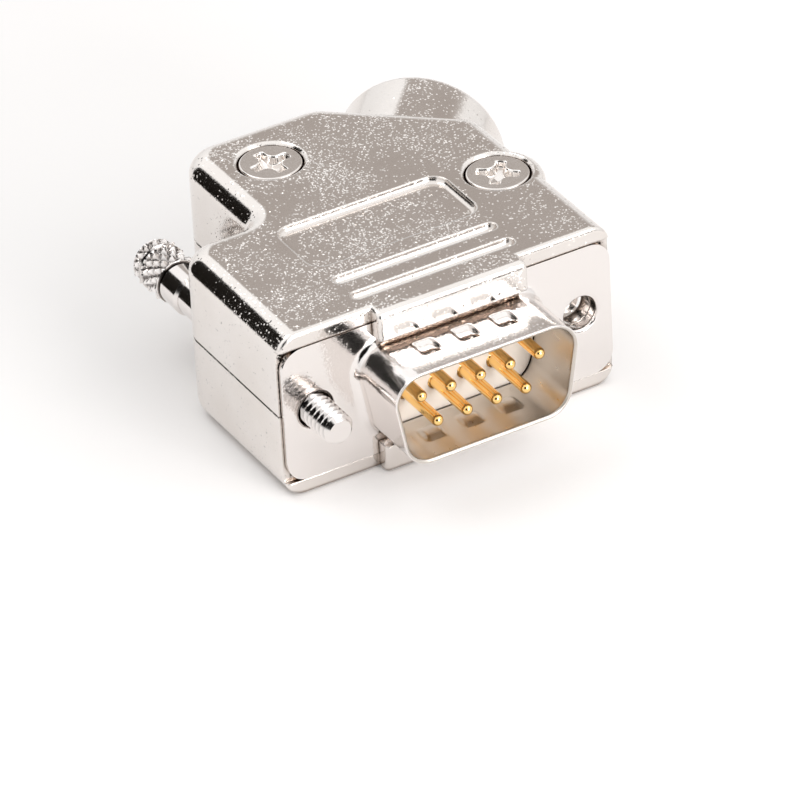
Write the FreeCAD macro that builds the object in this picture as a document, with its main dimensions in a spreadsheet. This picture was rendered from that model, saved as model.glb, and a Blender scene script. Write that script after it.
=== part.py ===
import FreeCAD, Part

"""Nine-way D-sub plug in an angled die-cast hood, as a parametric document.

Frame: the origin is the centre of the plug's flange, in its front face. X runs
along the row of five contacts, Y runs back into the hood, Z is up. The hood is
split at Z = 0. Every length is in millimetres and every angle in degrees.
"""

import math
import os

import Sketcher

SIZES = [
    # name, value, what it is
    # --- plug: shells, insulators and contacts ---
    ("flange_half_width", 15.405, "half the width of the front shell's flange"),
    ("flange_half_height", 6.25, "half the height of the front shell's flange"),
    ("flange_corner", 1.9, "corner radius of the flanges"),
    ("rear_inset", 0.5, "how far the rear shell's flange stays inside the front one's outline"),
    ("front_sheet", 0.5, "thickness of the front shell's sheet at the flange"),
    ("rear_sheet", 0.5, "thickness of the rear shell's sheet"),
    ("hole_margin", 2.91, "distance of the fixing holes from the flange's two ends"),
    ("hole_radius", 1.52, "radius of the fixing holes"),
    ("hole_rim", 0.35, "rounding where the fixing holes are drawn inwards"),
    ("collar_wall", 0.35, "wall of the collar drawn through the rear shell"),
    ("shroud_half_width", 8.58, "half the width inside the D-shaped shroud, at its long side"),
    ("shroud_half_height", 4.0, "half the height inside the shroud"),
    ("shroud_side_angle", 10.0, "lean of the shroud's short sides"),
    ("shroud_corner", 2.1, "corner radius inside the shroud"),
    ("shroud_wall", 0.38, "wall of the shroud"),
    ("shroud_reach", 6.2, "how far the shroud stands out of the flange"),
    ("shroud_root", 0.8, "bend radius where the shroud leaves the flange"),
    ("shroud_lip", 0.15, "rounding of the shroud's mouth"),
    ("dimple_spacing", 3.6, "distance between the pressed dimples"),
    ("dimple_width", 1.8, "width of a dimple along the shroud"),
    ("dimple_length", 2.2, "length of a dimple along the mating direction"),
    ("dimple_depth", 0.3, "how far a dimple is pressed in"),
    ("dimple_place", 2.9, "distance of the dimples from the flange"),
    ("bay_half_width", 9.0, "half the width inside the rear shell"),
    ("bay_half_height", 4.8, "half the height inside the rear shell"),
    ("rear_reach", 5.2, "how far back the rear shell reaches"),
    ("insulator_face", 0.1, "depth of the insulator's face behind the flange's front"),
    ("insulator_split", 3.0, "where the front insulator meets the rear one"),
    ("insulator_back", 6.0, "back face of the rear insulator"),
    ("moulding_gap", 0.06, "clearance of an insulator in its shell"),
    ("face_gap", 0.1, "clearance round the insulator's face in the shroud's flared root"),
    ("pitch", 2.77, "distance between neighbouring contacts of a row"),
    ("row_offset", 1.42, "distance of each row from the middle"),
    ("pin_radius", 0.51, "radius of a contact's pin"),
    ("pin_reach", 5.4, "distance of the pin tips in front of the flange"),
    ("grip_part", 0.68, "radius of the part of a contact that the insulator grips"),
    ("grip_front", 0.15, "front of that part"),
    ("shoulder_radius", 0.86, "radius of a contact's shoulder"),
    ("shoulder_front", 1.4, "front of the shoulder"),
    ("cup_radius", 0.95, "outer radius of a solder cup"),
    ("cup_bore", 0.66, "inner radius of a solder cup"),
    ("cup_front", 4.4, "where the shoulder widens into the cup"),
    ("cup_floor", 7.2, "floor of the cup's bore"),
    ("cup_back", 10.0, "back end of the cup"),
    ("cup_scoop", 7.9, "front end of the scoop cut out of the cup's side"),
    ("contact_gap", 0.04, "clearance of a contact in its insulators"),
    # --- hood ---
    ("flange_cover", 0.195, "how far the hood's sides stand past the ends of the flange"),
    ("hood_half_height", 7.7, "half the height of the hood"),
    ("edge_round", 1.8, "rounding of the hood's long edges"),
    ("front_round", 0.4, "rounding of the hood's front edges"),
    ("visor_round", 0.7, "rounding along the top of the jaws' front"),
    ("split_break", 0.1, "bevel of each half's outer edge at the split"),
    ("ear_depth", 17.2, "back face of the left ear"),
    ("ear_corner", 3.0, "corner radius of the left ear"),
    ("tail_half_width", 8.3, "distance of the tail's left side from the middle"),
    ("step_corner", 1.6, "inner radius between the ear and the tail"),
    ("hood_depth", 30.5, "back face of the hood"),
    ("tail_corner", 3.2, "corner radius at the tail's left"),
    ("heel_corner", 2.4, "corner radius where the slanted face meets the right side"),
    ("lip_front", 0.1, "front of the lips above and below the flange"),
    ("visor_half_width", 7.0, "half the width of the jaws that hold the flange"),
    ("visor_reach", 1.3, "how far the jaws stand in front of the flange"),
    ("visor_edge", 5.1, "height of the jaws' inner edge"),
    ("flange_gap", 0.05, "clearance of the flanges in their groove"),
    ("side_gap", 0.13, "gap between the flange and the upper half's side walls"),
    ("hood_wall", 1.4, "wall of the hood round the wire space"),
    ("passage_half_width", 7.6, "half the width of the way from the plug to the wire space"),
    ("space_front", 10.6, "front of the wide wire space"),
    ("space_right", 8.6, "right side of the wire space beside the second screw"),
    ("space_heel", 16.6, "where the wire space widens to the right"),
    ("space_corner", 1.0, "corner radius of the wire space"),
    ("exit_angle", 41.0, "turn of the cable exit from straight back"),
    ("slant_distance", 9.3, "distance of the slanted face from the screws' midpoint"),
    ("tube_distance", 15.6, "distance of the tube's mouth from the screws' midpoint"),
    ("tube_radius", 7.3, "outer radius of the cable tube"),
    ("tube_round", 0.9, "rounding of the tube's mouth"),
    ("cable_bore", 4.1, "radius of the cable's way through the tube"),
    ("bore_start", 5.0, "where the cable's way begins, from the screws' midpoint"),
    ("mouth_bevel", 0.6, "bevel of the bore's mouth"),
    ("insert_half_width", 4.8, "half the width of the groove for a cable insert's flange"),
    ("insert_start", 8.8, "front of that groove, from the screws' midpoint"),
    ("insert_length", 2.4, "length of that groove"),
    ("screw_one_across", -2.5, "place of the first hood screw along X"),
    ("screw_one_back", 24.4, "place of the first hood screw along Y"),
    ("screw_two_across", 12.2, "place of the second hood screw along X"),
    ("screw_two_back", 12.2, "place of the second hood screw along Y"),
    ("screw_one_turn", 8.0, "turn of the first screw's cross recess"),
    ("screw_two_turn", 50.0, "turn of the second screw's cross recess"),
    ("boss_radius", 3.6, "radius of the boss round a screw in the wire space"),
    ("lobe_radius", 3.95, "radius of the bulge round the second screw"),
    ("lobe_round", 1.1, "rounding of the bulge's rim"),
    ("screw_radius", 1.5, "radius of a hood screw's shank"),
    ("screw_head", 2.68, "radius of a hood screw's head"),
    ("head_height", 1.6, "height of a hood screw's head"),
    ("head_sink", 0.15, "how deep a head lies below the hood's face"),
    ("head_gap", 0.14, "clearance round a hood screw's head"),
    ("head_bevel", 0.25, "bevel round a screw's seat"),
    ("screw_gap", 0.15, "clearance of a screw in the upper half"),
    ("thread_gap", 0.02, "clearance of a screw in its tapped hole"),
    ("screw_reach", 5.4, "how far a screw reaches below the split"),
    ("cross_length", 3.3, "length of the cross recess"),
    ("cross_width", 0.8, "width of the cross recess"),
    ("cross_depth", 1.0, "depth of the cross recess"),
    ("label_left", -7.85, "left side of the label recess"),
    ("label_right", 8.05, "right side of the label recess"),
    ("label_front", 7.6, "front side of the label recess"),
    ("label_back", 14.7, "back side of the label recess"),
    ("label_depth", 0.5, "depth of the label recess"),
    ("label_corner", 1.5, "corner radius of the label recess"),
    ("grip_left", -7.45, "left end of the two grip grooves"),
    ("grip_right", 7.8, "right end of the two grip grooves"),
    ("grip_near", 2.3, "place of the front grip groove along Y"),
    ("grip_far", 5.15, "place of the back grip groove along Y"),
    ("grip_radius", 0.62, "radius of the half-round grip grooves"),
    # --- jackscrews ---
    ("thread_radius", 1.42, "outside radius of the jackscrew threads"),
    ("running_gap", 0.05, "radial clearance of the jackscrews where they run"),
    ("tip_bevel", 0.4, "bevel of a jackscrew's tip"),
    ("clip_radius", 2.1, "outer radius of a retaining clip"),
    ("clip_thickness", 0.5, "thickness of a retaining clip"),
    ("clip_float", 0.05, "clearance of a clip on each side in its groove"),
    ("clip_slot", 1.7, "width of a clip's mouth"),
    ("neck_radius", 1.1, "radius of a jackscrew at its clip's groove"),
    ("left_tip", 3.9, "how far the left jackscrew's tip stands out of the flange"),
    ("left_clip", 5.1, "front of the left retaining clip"),
    ("left_thread_end", 8.0, "where the left jackscrew's thread ends"),
    ("left_shank", 1.6, "radius of the left jackscrew's shank"),
    ("left_collar_front", 20.4, "front of the left jackscrew's collar"),
    ("left_collar", 1.85, "radius of the left jackscrew's collar"),
    ("left_knob_front", 23.2, "front of the left knob"),
    ("left_knob_back", 27.4, "back of the left knob"),
    ("left_knob", 2.2, "radius of the left knob"),
    ("knob_groove", 0.25, "depth of the ring groove in the left knob"),
    ("knob_groove_place", 1.3, "distance of that groove from the knob's back"),
    ("knob_bevel", 0.3, "bevel of both knobs' rims"),
    ("guide_back", 3.5, "back of the left front guide"),
    ("chamber_back", 13.8, "back of the chamber in which the left clip travels"),
    ("chamber_radius", 2.35, "radius of that chamber"),
    ("window_front", 2.4, "front of the window for the right knob"),
    ("window_back", 9.2, "back of the window for the right knob"),
    ("window_half_height", 3.6, "half the height of the window"),
    ("window_margin", 0.25, "clearance of the window beside the right knob"),
    ("right_tip", 2.2, "depth of the right jackscrew's tip behind the flange's front"),
    ("right_clip", 6.35, "front of the right retaining clip"),
    ("right_knob_front", 6.95, "front of the right knob"),
    ("right_knob_back", 9.1, "back of the right knob"),
    ("right_knob", 3.2, "radius of the right knob"),
]


class Dim:
    """A size as a number together with the expression that ties a feature to the sheet."""

    def __init__(self, value, text):
        self.value = float(value)
        self.text = text

    def __add__(self, other):
        other = as_dim(other)
        return Dim(self.value + other.value, f"({self.text} + {other.text})")

    def __sub__(self, other):
        other = as_dim(other)
        return Dim(self.value - other.value, f"({self.text} - {other.text})")

    def __mul__(self, other):
        other = as_dim(other)
        return Dim(self.value * other.value, f"({self.text} * {other.text})")

    def __truediv__(self, other):
        other = as_dim(other)
        return Dim(self.value / other.value, f"({self.text} / {other.text})")

    def __neg__(self):
        return Dim(-self.value, f"(0 - {self.text})")


def as_dim(size):
    """A plain number becomes a Dim; a Dim stays as it is."""
    return size if isinstance(size, Dim) else Dim(size, repr(float(size)))


def sine(angle):
    return Dim(math.sin(math.radians(angle.value)), f"sin({angle.text})")


def cosine(angle):
    return Dim(math.cos(math.radians(angle.value)), f"cos({angle.text})")


def tangent(angle):
    return Dim(math.tan(math.radians(angle.value)), f"tan({angle.text})")


doc = FreeCAD.newDocument("d_sub_plug")
sheet = doc.addObject("Spreadsheet::Sheet", "Sizes")
size = {}
for row, (name, value, note) in enumerate(SIZES, start=1):
    sheet.set(f"A{row}", name)
    sheet.set(f"B{row}", str(value))
    sheet.set(f"C{row}", note)
    sheet.setAlias(f"B{row}", name)
    size[name] = Dim(value, f"Sizes.{name}")
doc.recompute()

ZERO = as_dim(0)
FAR = as_dim(40)  # reaches past every face of the part
UP, DOWN = 1, -1

hole_x = size["flange_half_width"] - size["hole_margin"]
flange_back = size["front_sheet"] + size["rear_sheet"]
top = size["hood_half_height"]
width = size["flange_half_width"] + size["flange_cover"]


# ---------------------------------------------------------------- sketches


def new_body(name):
    body = doc.addObject("PartDesign::Body", name)
    body.Label = name
    return body


def new_sketch(body, name, plane="XY_Plane", offset=None):
    """Sketch on one of the body's origin planes, moved along the plane's normal by offset."""
    sketch = body.newObject("Sketcher::SketchObject", name)
    support = next(f for f in body.Origin.OriginFeatures if f.Role == plane)
    sketch.AttachmentSupport = (support, [""])
    sketch.MapMode = "FlatFace"
    if offset is not None:
        sketch.AttachmentOffset = FreeCAD.Placement(
            FreeCAD.Vector(0, 0, offset.value), FreeCAD.Rotation()
        )
        sketch.setExpression("AttachmentOffset.Base.z", offset.text)
    return sketch


def bind(sketch, kind, *where):
    """Adds a constraint whose last argument is a Dim, and ties it to the sheet."""
    *items, dim = where
    index = sketch.addConstraint(Sketcher.Constraint(kind, *items, dim.value))
    sketch.setExpression(f"Constraints[{index}]", dim.text)


def hold(sketch, geometry, point, x, y):
    """Holds a point by its two distances from the sketch's origin."""
    bind(sketch, "DistanceX", -1, 1, geometry, point, x)
    bind(sketch, "DistanceY", -1, 1, geometry, point, y)


def vector(x, y):
    return FreeCAD.Vector(x.value, y.value, 0)


def circle(sketch, x, y, radius):
    index = sketch.addGeometry(
        Part.Circle(vector(x, y), FreeCAD.Vector(0, 0, 1), radius.value), False
    )
    hold(sketch, index, 3, x, y)
    bind(sketch, "Radius", index, radius)


def outline(sketch, corners):
    """Closed loop through corners (x, y) or (x, y, radius).

    A corner with a radius is rounded by a tangent arc. Its sharp corner stays as
    a construction point on both edges, so places and radii alone drive the loop.
    """
    count = len(corners)
    points = [vector(corner[0], corner[1]) for corner in corners]
    enters, leaves, arcs = list(points), list(points), {}
    for i, corner in enumerate(corners):
        if len(corner) < 3:
            continue
        radius = corner[2].value
        before = (points[i - 1] - points[i]).normalize()
        after = (points[(i + 1) % count] - points[i]).normalize()
        half = before.getAngle(after) / 2
        reach = radius / math.tan(half)
        middle = points[i] + (before + after).normalize() * (radius / math.sin(half))
        nearest = middle - (before + after).normalize() * radius
        enters[i], leaves[i] = points[i] + before * reach, points[i] + after * reach
        turns_left = (before * -1).cross(after).z > 0
        arcs[i] = (Part.Arc(enters[i], nearest, leaves[i]), turns_left)
    first = sketch.GeometryCount
    for i in range(count):
        sketch.addGeometry(Part.LineSegment(leaves[i], enters[(i + 1) % count]), False)
    for i, corner in enumerate(corners):
        line_in, line_out = first + (i - 1) % count, first + i
        if i not in arcs:
            sketch.addConstraint(Sketcher.Constraint("Coincident", line_in, 2, line_out, 1))
            hold(sketch, line_out, 1, corner[0], corner[1])
            continue
        shape, turns_left = arcs[i]
        arc = sketch.addGeometry(shape, False)
        point = sketch.addGeometry(Part.Point(points[i]), True)
        enter_end, leave_end = (1, 2) if turns_left else (2, 1)
        sketch.addConstraint(Sketcher.Constraint("Tangent", line_in, 2, arc, enter_end))
        sketch.addConstraint(Sketcher.Constraint("Tangent", arc, leave_end, line_out, 1))
        sketch.addConstraint(Sketcher.Constraint("PointOnObject", point, 1, line_in))
        sketch.addConstraint(Sketcher.Constraint("PointOnObject", point, 1, line_out))
        hold(sketch, point, 1, corner[0], corner[1])
        bind(sketch, "Radius", arc, corner[2])


def segment(sketch, x, y, level, radius):
    """Part of a disc about (x, y) that lies beyond the straight line at y = level."""
    drop = level - y
    half = Dim(
        math.sqrt(radius.value**2 - drop.value**2), f"sqrt({radius.text}^2 - {drop.text}^2)"
    )
    left, right = vector(x - half, level), vector(x + half, level)
    side = 1 if drop.value > 0 else -1
    crown = FreeCAD.Vector(x.value, y.value + side * radius.value, 0)
    line = sketch.addGeometry(Part.LineSegment(left, right), False)
    arc = sketch.addGeometry(Part.Arc(left, crown, right), False)
    start, end = (2, 1) if side > 0 else (1, 2)
    sketch.addConstraint(Sketcher.Constraint("Coincident", line, 1, arc, start))
    sketch.addConstraint(Sketcher.Constraint("Coincident", line, 2, arc, end))
    sketch.addConstraint(Sketcher.Constraint("Horizontal", line))
    hold(sketch, arc, 3, x, y)
    bind(sketch, "DistanceY", -1, 1, line, 1, level)
    bind(sketch, "Radius", arc, radius)


def rectangle(left, right, low, high):
    return [(left, low), (right, low), (right, high), (left, high)]


def with_radius(corners, radius):
    return [(x, y, radius) for x, y in corners]


def axis_line(sketch, start, end):
    """Construction line that a revolved feature turns about; it is made first in its sketch."""
    index = sketch.addGeometry(Part.LineSegment(vector(*start), vector(*end)), True)
    hold(sketch, index, 1, *start)
    hold(sketch, index, 2, *end)


# ---------------------------------------------------------------- features


def extrude(body, kind, sketch, length, backwards=False):
    """Pad or Pocket of a sketch. A Pad follows the sketch's normal, a Pocket goes against it."""
    feature = body.newObject(f"PartDesign::{kind}", f"{kind}_{sketch.Name}")
    feature.Profile = sketch
    feature.Length = length.value
    feature.setExpression("Length", length.text)
    feature.Reversed = backwards
    sketch.Visibility = False
    return feature


def revolve(body, kind, sketch, angle=360.0, backwards=False):
    """Revolution or Groove about the construction line of the sketch."""
    feature = body.newObject(f"PartDesign::{kind}", f"{kind}_{sketch.Name}")
    feature.Profile = sketch
    feature.ReferenceAxis = (sketch, ["Axis0"])
    feature.Angle = angle
    feature.Reversed = backwards
    sketch.Visibility = False
    return feature


def dress(body, kind, amount, wanted):
    """Fillet or Chamfer on the edges of the body's tip that the test picks."""
    doc.recompute()
    base = body.Tip
    edges = [f"Edge{i}" for i, edge in enumerate(base.Shape.Edges, start=1) if wanted(edge)]
    feature = body.newObject(f"PartDesign::{kind}", f"{kind}_{base.Name}")
    feature.Base = (base, edges)
    prop = "Radius" if kind == "Fillet" else "Size"
    setattr(feature, prop, amount.value)
    feature.setExpression(prop, amount.text)
    base.Visibility = False
    return feature


def close(a, b):
    return abs(a - b) < 1e-4


def flat_at(edge, axis, place):
    """True where the whole edge lies at one place along an axis."""
    box = edge.BoundBox
    low, high = getattr(box, f"{axis}Min"), getattr(box, f"{axis}Max")
    return close(low, place.value) and close(high, place.value)


# ---------------------------------------------------------------- plug


def d_corners(half_width, half_height, radius):
    """The D outline: two long sides and two sides that lean in towards the bottom."""
    lean = half_height * 2 * tangent(size["shroud_side_angle"])
    narrow = half_width - lean
    corners = [
        (-narrow, -half_height),
        (narrow, -half_height),
        (half_width, half_height),
        (-half_width, half_height),
    ]
    return with_radius(corners, radius)


def contact_places():
    """(number, x, z) of the nine contacts, numbered from the left of the row of five."""
    places = []
    for i in range(5):
        places.append((i + 1, size["pitch"] * (i - 2), size["row_offset"]))
    for i in range(4):
        places.append((i + 6, size["pitch"] * (i - 1.5), -size["row_offset"]))
    return places


def flange_plate(body, front, thickness, inset):
    sketch = new_sketch(body, "flange_of_" + body.Name, "XZ_Plane", -front)
    half_width = size["flange_half_width"] - inset
    half_height = size["flange_half_height"] - inset
    plate = rectangle(-half_width, half_width, -half_height, half_height)
    outline(sketch, with_radius(plate, size["flange_corner"]))
    extrude(body, "Pad", sketch, thickness, backwards=True)


def make_plug_shell():
    """Front shell: flange and D-shaped shroud drawn from one sheet."""
    body = new_body("plug_shell")
    flange_plate(body, ZERO, size["front_sheet"], ZERO)

    wall = size["shroud_wall"]
    outer = new_sketch(body, "shroud_outside", "XZ_Plane")
    half_width = size["shroud_half_width"] + wall
    half_height = size["shroud_half_height"] + wall
    outline(outer, d_corners(half_width, half_height, size["shroud_corner"] + wall))
    extrude(body, "Pad", outer, size["shroud_reach"])

    for sign, name in ((DOWN, "left"), (UP, "right")):
        collar = new_sketch(body, f"collar_{name}", "XZ_Plane", -size["front_sheet"])
        circle(collar, hole_x * sign, ZERO, size["hole_radius"] + size["collar_wall"])
        extrude(body, "Pad", collar, size["rear_sheet"], backwards=True)

    inner = new_sketch(body, "shroud_inside", "XZ_Plane", size["shroud_reach"])
    half_width, half_height = size["shroud_half_width"], size["shroud_half_height"]
    outline(inner, d_corners(half_width, half_height, size["shroud_corner"]))
    extrude(body, "Pocket", inner, size["shroud_reach"] + size["front_sheet"])

    holes = new_sketch(body, "fixing_holes", "XZ_Plane", size["shroud_reach"])
    for sign in (DOWN, UP):
        circle(holes, hole_x * sign, ZERO, size["hole_radius"])
    extrude(body, "Pocket", holes, size["shroud_reach"] + flange_back)

    reach_x = hole_x.value - size["hole_radius"].value
    reach_z = size["shroud_half_height"].value + wall.value + 1e-3

    def root_edge(edge):
        middle = edge.CenterOfMass
        return flat_at(edge, "Y", ZERO) and abs(middle.x) < reach_x and abs(middle.z) < reach_z

    def flare_edge(edge):
        middle = edge.CenterOfMass
        back = flat_at(edge, "Y", size["front_sheet"])
        return back and abs(middle.x) < reach_x and abs(middle.z) < reach_z

    dress(body, "Fillet", size["shroud_root"], root_edge)
    dress(body, "Fillet", size["shroud_root"] + wall, flare_edge)
    dress(
        body,
        "Fillet",
        size["hole_rim"],
        lambda edge: flat_at(edge, "Y", ZERO)
        and isinstance(edge.Curve, Part.Circle)
        and close(edge.Curve.Radius, size["hole_radius"].value),
    )
    dress(body, "Fillet", size["shroud_lip"], lambda edge: flat_at(edge, "Y", -size["shroud_reach"]))

    # dimples: troughs rolled into the long walls from outside, with their bulge inside
    depth, length = size["dimple_depth"], size["dimple_length"]
    roll = (length * length / 4 + depth * depth) / (depth * 2)
    middle = -size["dimple_place"]
    for sign, name in ((UP, "upper"), (DOWN, "lower")):
        skin = (size["shroud_half_height"] + wall) * sign
        roll_z = skin + (roll - depth) * sign
        chord = skin - wall / 2 * sign
        for step, where in ((-1, "left"), (0, "middle"), (1, "right")):
            start = size["dimple_spacing"] * step - size["dimple_width"] / 2
            bulge = new_sketch(body, f"bulge_{name}_{where}", "YZ_Plane", start)
            segment(bulge, middle, roll_z, chord, roll + wall * 0.8)
            extrude(body, "Pad", bulge, size["dimple_width"])
            trough = new_sketch(
                body, f"trough_{name}_{where}", "YZ_Plane", start + size["dimple_width"]
            )
            circle(trough, middle, roll_z, roll)
            extrude(body, "Pocket", trough, size["dimple_width"])
    return body


def make_rear_shell():
    """Rear shell: flange and open box that clamps the insulators."""
    body = new_body("rear_shell")
    flange_plate(body, size["front_sheet"], size["rear_sheet"], size["rear_inset"])
    wall = size["rear_sheet"]
    corner = size["shroud_corner"]
    outer = new_sketch(body, "box_outside", "XZ_Plane", -size["front_sheet"])
    half_width, half_height = size["bay_half_width"] + wall, size["bay_half_height"] + wall
    outline(outer, d_corners(half_width, half_height, corner + wall))
    length = size["rear_reach"] - size["front_sheet"]
    extrude(body, "Pad", outer, length, backwards=True)
    inner = new_sketch(body, "box_inside", "XZ_Plane", -size["front_sheet"])
    outline(inner, d_corners(size["bay_half_width"], size["bay_half_height"], corner))
    extrude(body, "Pocket", inner, length)
    holes = new_sketch(body, "collar_holes", "XZ_Plane", -size["front_sheet"])
    clear = size["hole_radius"] + size["collar_wall"] + size["contact_gap"]
    for sign in (DOWN, UP):
        circle(holes, hole_x * sign, ZERO, clear)
    extrude(body, "Pocket", holes, size["rear_sheet"])
    return body


def contact_holes(body, name, front, length, radius):
    sketch = new_sketch(body, name, "XZ_Plane", -front)
    for number, x, z in contact_places():
        circle(sketch, x, z, radius)
    extrude(body, "Pocket", sketch, length)


def insulator_block(body, name, half_width, half_height, front, back, gap):
    sketch = new_sketch(body, name, "XZ_Plane", -front)
    corner = size["shroud_corner"] - gap
    outline(sketch, d_corners(half_width - gap, half_height - gap, corner))
    extrude(body, "Pad", sketch, back - front, backwards=True)


def make_insulator_front():
    """Front insulator: its face shows in the shroud, its wide part is held behind the flange."""
    body = new_body("insulator_front")
    step = size["front_sheet"] + size["moulding_gap"]
    half_width, half_height = size["shroud_half_width"], size["shroud_half_height"]
    face = size["insulator_face"]
    # the sheet's bend has widened the shroud here by about a quarter of its radius
    spread = (size["shroud_root"] + size["shroud_wall"]) / 4
    around = size["face_gap"] - spread
    insulator_block(body, "face_block", half_width, half_height, face, step, around)
    half_width, half_height = size["bay_half_width"], size["bay_half_height"]
    back, tight = size["insulator_split"], size["moulding_gap"]
    insulator_block(body, "held_block", half_width, half_height, step, back, tight)
    gap = size["contact_gap"]
    through = size["insulator_split"] - face
    contact_holes(body, "pin_holes", face, through, size["grip_part"] + gap)
    seat = size["shoulder_front"] - gap
    radius = size["shoulder_radius"] + gap
    contact_holes(body, "shoulder_holes", seat, size["insulator_split"] - seat, radius)
    return body


def make_insulator_rear():
    """Rear insulator: closes the box and carries the solder cups."""
    body = new_body("insulator_rear")
    half_width, half_height = size["bay_half_width"], size["bay_half_height"]
    front, back, tight = size["insulator_split"], size["insulator_back"], size["moulding_gap"]
    insulator_block(body, "rear_block", half_width, half_height, front, back, tight)
    gap = size["contact_gap"]
    radius = size["shoulder_radius"] + gap
    contact_holes(body, "shoulder_holes_rear", front, back - front, radius)
    seat = size["cup_front"] - gap
    contact_holes(body, "cup_holes", seat, back - seat, size["cup_radius"] + gap)
    return body


def make_contact(number, x, z, cup_opens):
    """Turned contact: round-tipped pin, shoulder and solder cup with a scooped side."""
    body = new_body(f"contact_{number}")
    profile = new_sketch(body, f"turning_{number}", "XY_Plane")
    axis_line(profile, (ZERO, -size["pin_reach"]), (ZERO, size["cup_back"]))
    pin, grip = size["pin_radius"], size["grip_part"]
    shoulder, cup = size["shoulder_radius"], size["cup_radius"]
    tip, start = -size["pin_reach"], -size["pin_reach"] + size["pin_radius"]
    # quarter circle of the tip, then the stepped outline back to the axis
    first = profile.GeometryCount
    profile.addGeometry(
        Part.ArcOfCircle(
            Part.Circle(vector(ZERO, start), FreeCAD.Vector(0, 0, 1), pin.value),
            -math.pi / 2,
            0,
        ),
        False,
    )
    steps = [
        (pin, start),
        (pin, size["grip_front"] - (grip - pin)),
        (grip, size["grip_front"]),
        (grip, size["shoulder_front"]),
        (shoulder, size["shoulder_front"]),
        (shoulder, size["cup_front"]),
        (cup, size["cup_front"]),
        (cup, size["cup_back"]),
        (size["cup_bore"], size["cup_back"]),
        (size["cup_bore"], size["cup_floor"]),
        (ZERO, size["cup_floor"]),
        (ZERO, tip),
    ]
    for i in range(len(steps) - 1):
        segment = Part.LineSegment(vector(*steps[i]), vector(*steps[i + 1]))
        index = profile.addGeometry(segment, False)
        hold(profile, index, 1, *steps[i])
        if i:
            profile.addConstraint(Sketcher.Constraint("Coincident", index - 1, 2, index, 1))
    profile.addConstraint(Sketcher.Constraint("Coincident", first, 2, first + 1, 1))
    profile.addConstraint(Sketcher.Constraint("Coincident", index, 2, first, 1))
    hold(profile, first, 3, ZERO, start)
    profile.addConstraint(Sketcher.Constraint("PointOnObject", index, 2, -2))
    revolve(body, "Revolution", profile)

    scoop = new_sketch(body, f"scoop_{number}", "XY_Plane", size["cup_radius"] * cup_opens)
    across = size["cup_radius"] * 2
    back = size["cup_back"] + size["cup_radius"]
    outline(scoop, rectangle(-across, across, size["cup_scoop"], back))
    extrude(body, "Pocket", scoop, size["cup_radius"], backwards=cup_opens < 0)
    body.setExpression("Placement.Base.x", x.text)
    body.setExpression("Placement.Base.z", z.text)
    return body


# ---------------------------------------------------------------- hood

middle_x = (size["screw_one_across"] + size["screw_two_across"]) / 2
middle_y = (size["screw_one_back"] + size["screw_two_back"]) / 2
exit_sine, exit_cosine = sine(size["exit_angle"]), cosine(size["exit_angle"])


def along_exit(distance, aside):
    """Point at a distance along the cable exit from the screws' midpoint, and aside to its right."""
    x = middle_x + distance * exit_sine + aside * exit_cosine
    y = middle_y + distance * exit_cosine - aside * exit_sine
    return x, y


def slant_at(distance, x=None, y=None):
    """The point of the slanted line at that distance which has the given x or y."""
    reach = middle_x * exit_sine + middle_y * exit_cosine + distance
    if x is not None:
        return x, (reach - x * exit_sine) / exit_cosine
    return (reach - y * exit_cosine) / exit_sine, y


def hood_outline():
    slant = size["slant_distance"]
    kink_x, kink_y = slant_at(slant, y=size["hood_depth"])
    heel_x, heel_y = slant_at(slant, x=width)
    return [
        (-width, size["lip_front"]),
        (width, size["lip_front"]),
        (heel_x, heel_y, size["heel_corner"]),
        (kink_x, kink_y, size["tail_corner"]),
        (-size["tail_half_width"], size["hood_depth"], size["tail_corner"]),
        (-size["tail_half_width"], size["ear_depth"], size["step_corner"]),
        (-width, size["ear_depth"], size["ear_corner"]),
    ]


def space_outline():
    """Wire space inside the hood: the tail, without the corner that holds the second screw."""
    wall, corner = size["hood_wall"], size["space_corner"]
    left, right = -size["tail_half_width"] + wall, width - wall
    back, slant = size["hood_depth"] - wall, size["slant_distance"] - wall
    front = size["space_front"]
    kink_x, kink_y = slant_at(slant, y=back)
    heel_x, heel_y = slant_at(slant, x=right)
    return [
        (left, front, corner),
        (size["space_right"], front, corner),
        (size["space_right"], size["space_heel"] - corner * 2, corner),
        (right, size["space_heel"], corner),
        (heel_x, heel_y, corner),
        (kink_x, kink_y, corner),
        (left, back, corner),
    ]


def stepped_groove(body, name, x, steps):
    """Groove about an axis along Y at x. Each step is (front, back, radius)."""
    sketch = new_sketch(body, name, "XY_Plane")
    axis_line(sketch, (x, steps[0][0]), (x, steps[-1][1]))
    corners = [(x, steps[0][0])]
    for front, back, radius in steps:
        corners.append((x + radius, front))
        corners.append((x + radius, back))
    corners.append((x, steps[-1][1]))
    outline(sketch, corners)
    revolve(body, "Groove", sketch)


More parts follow.
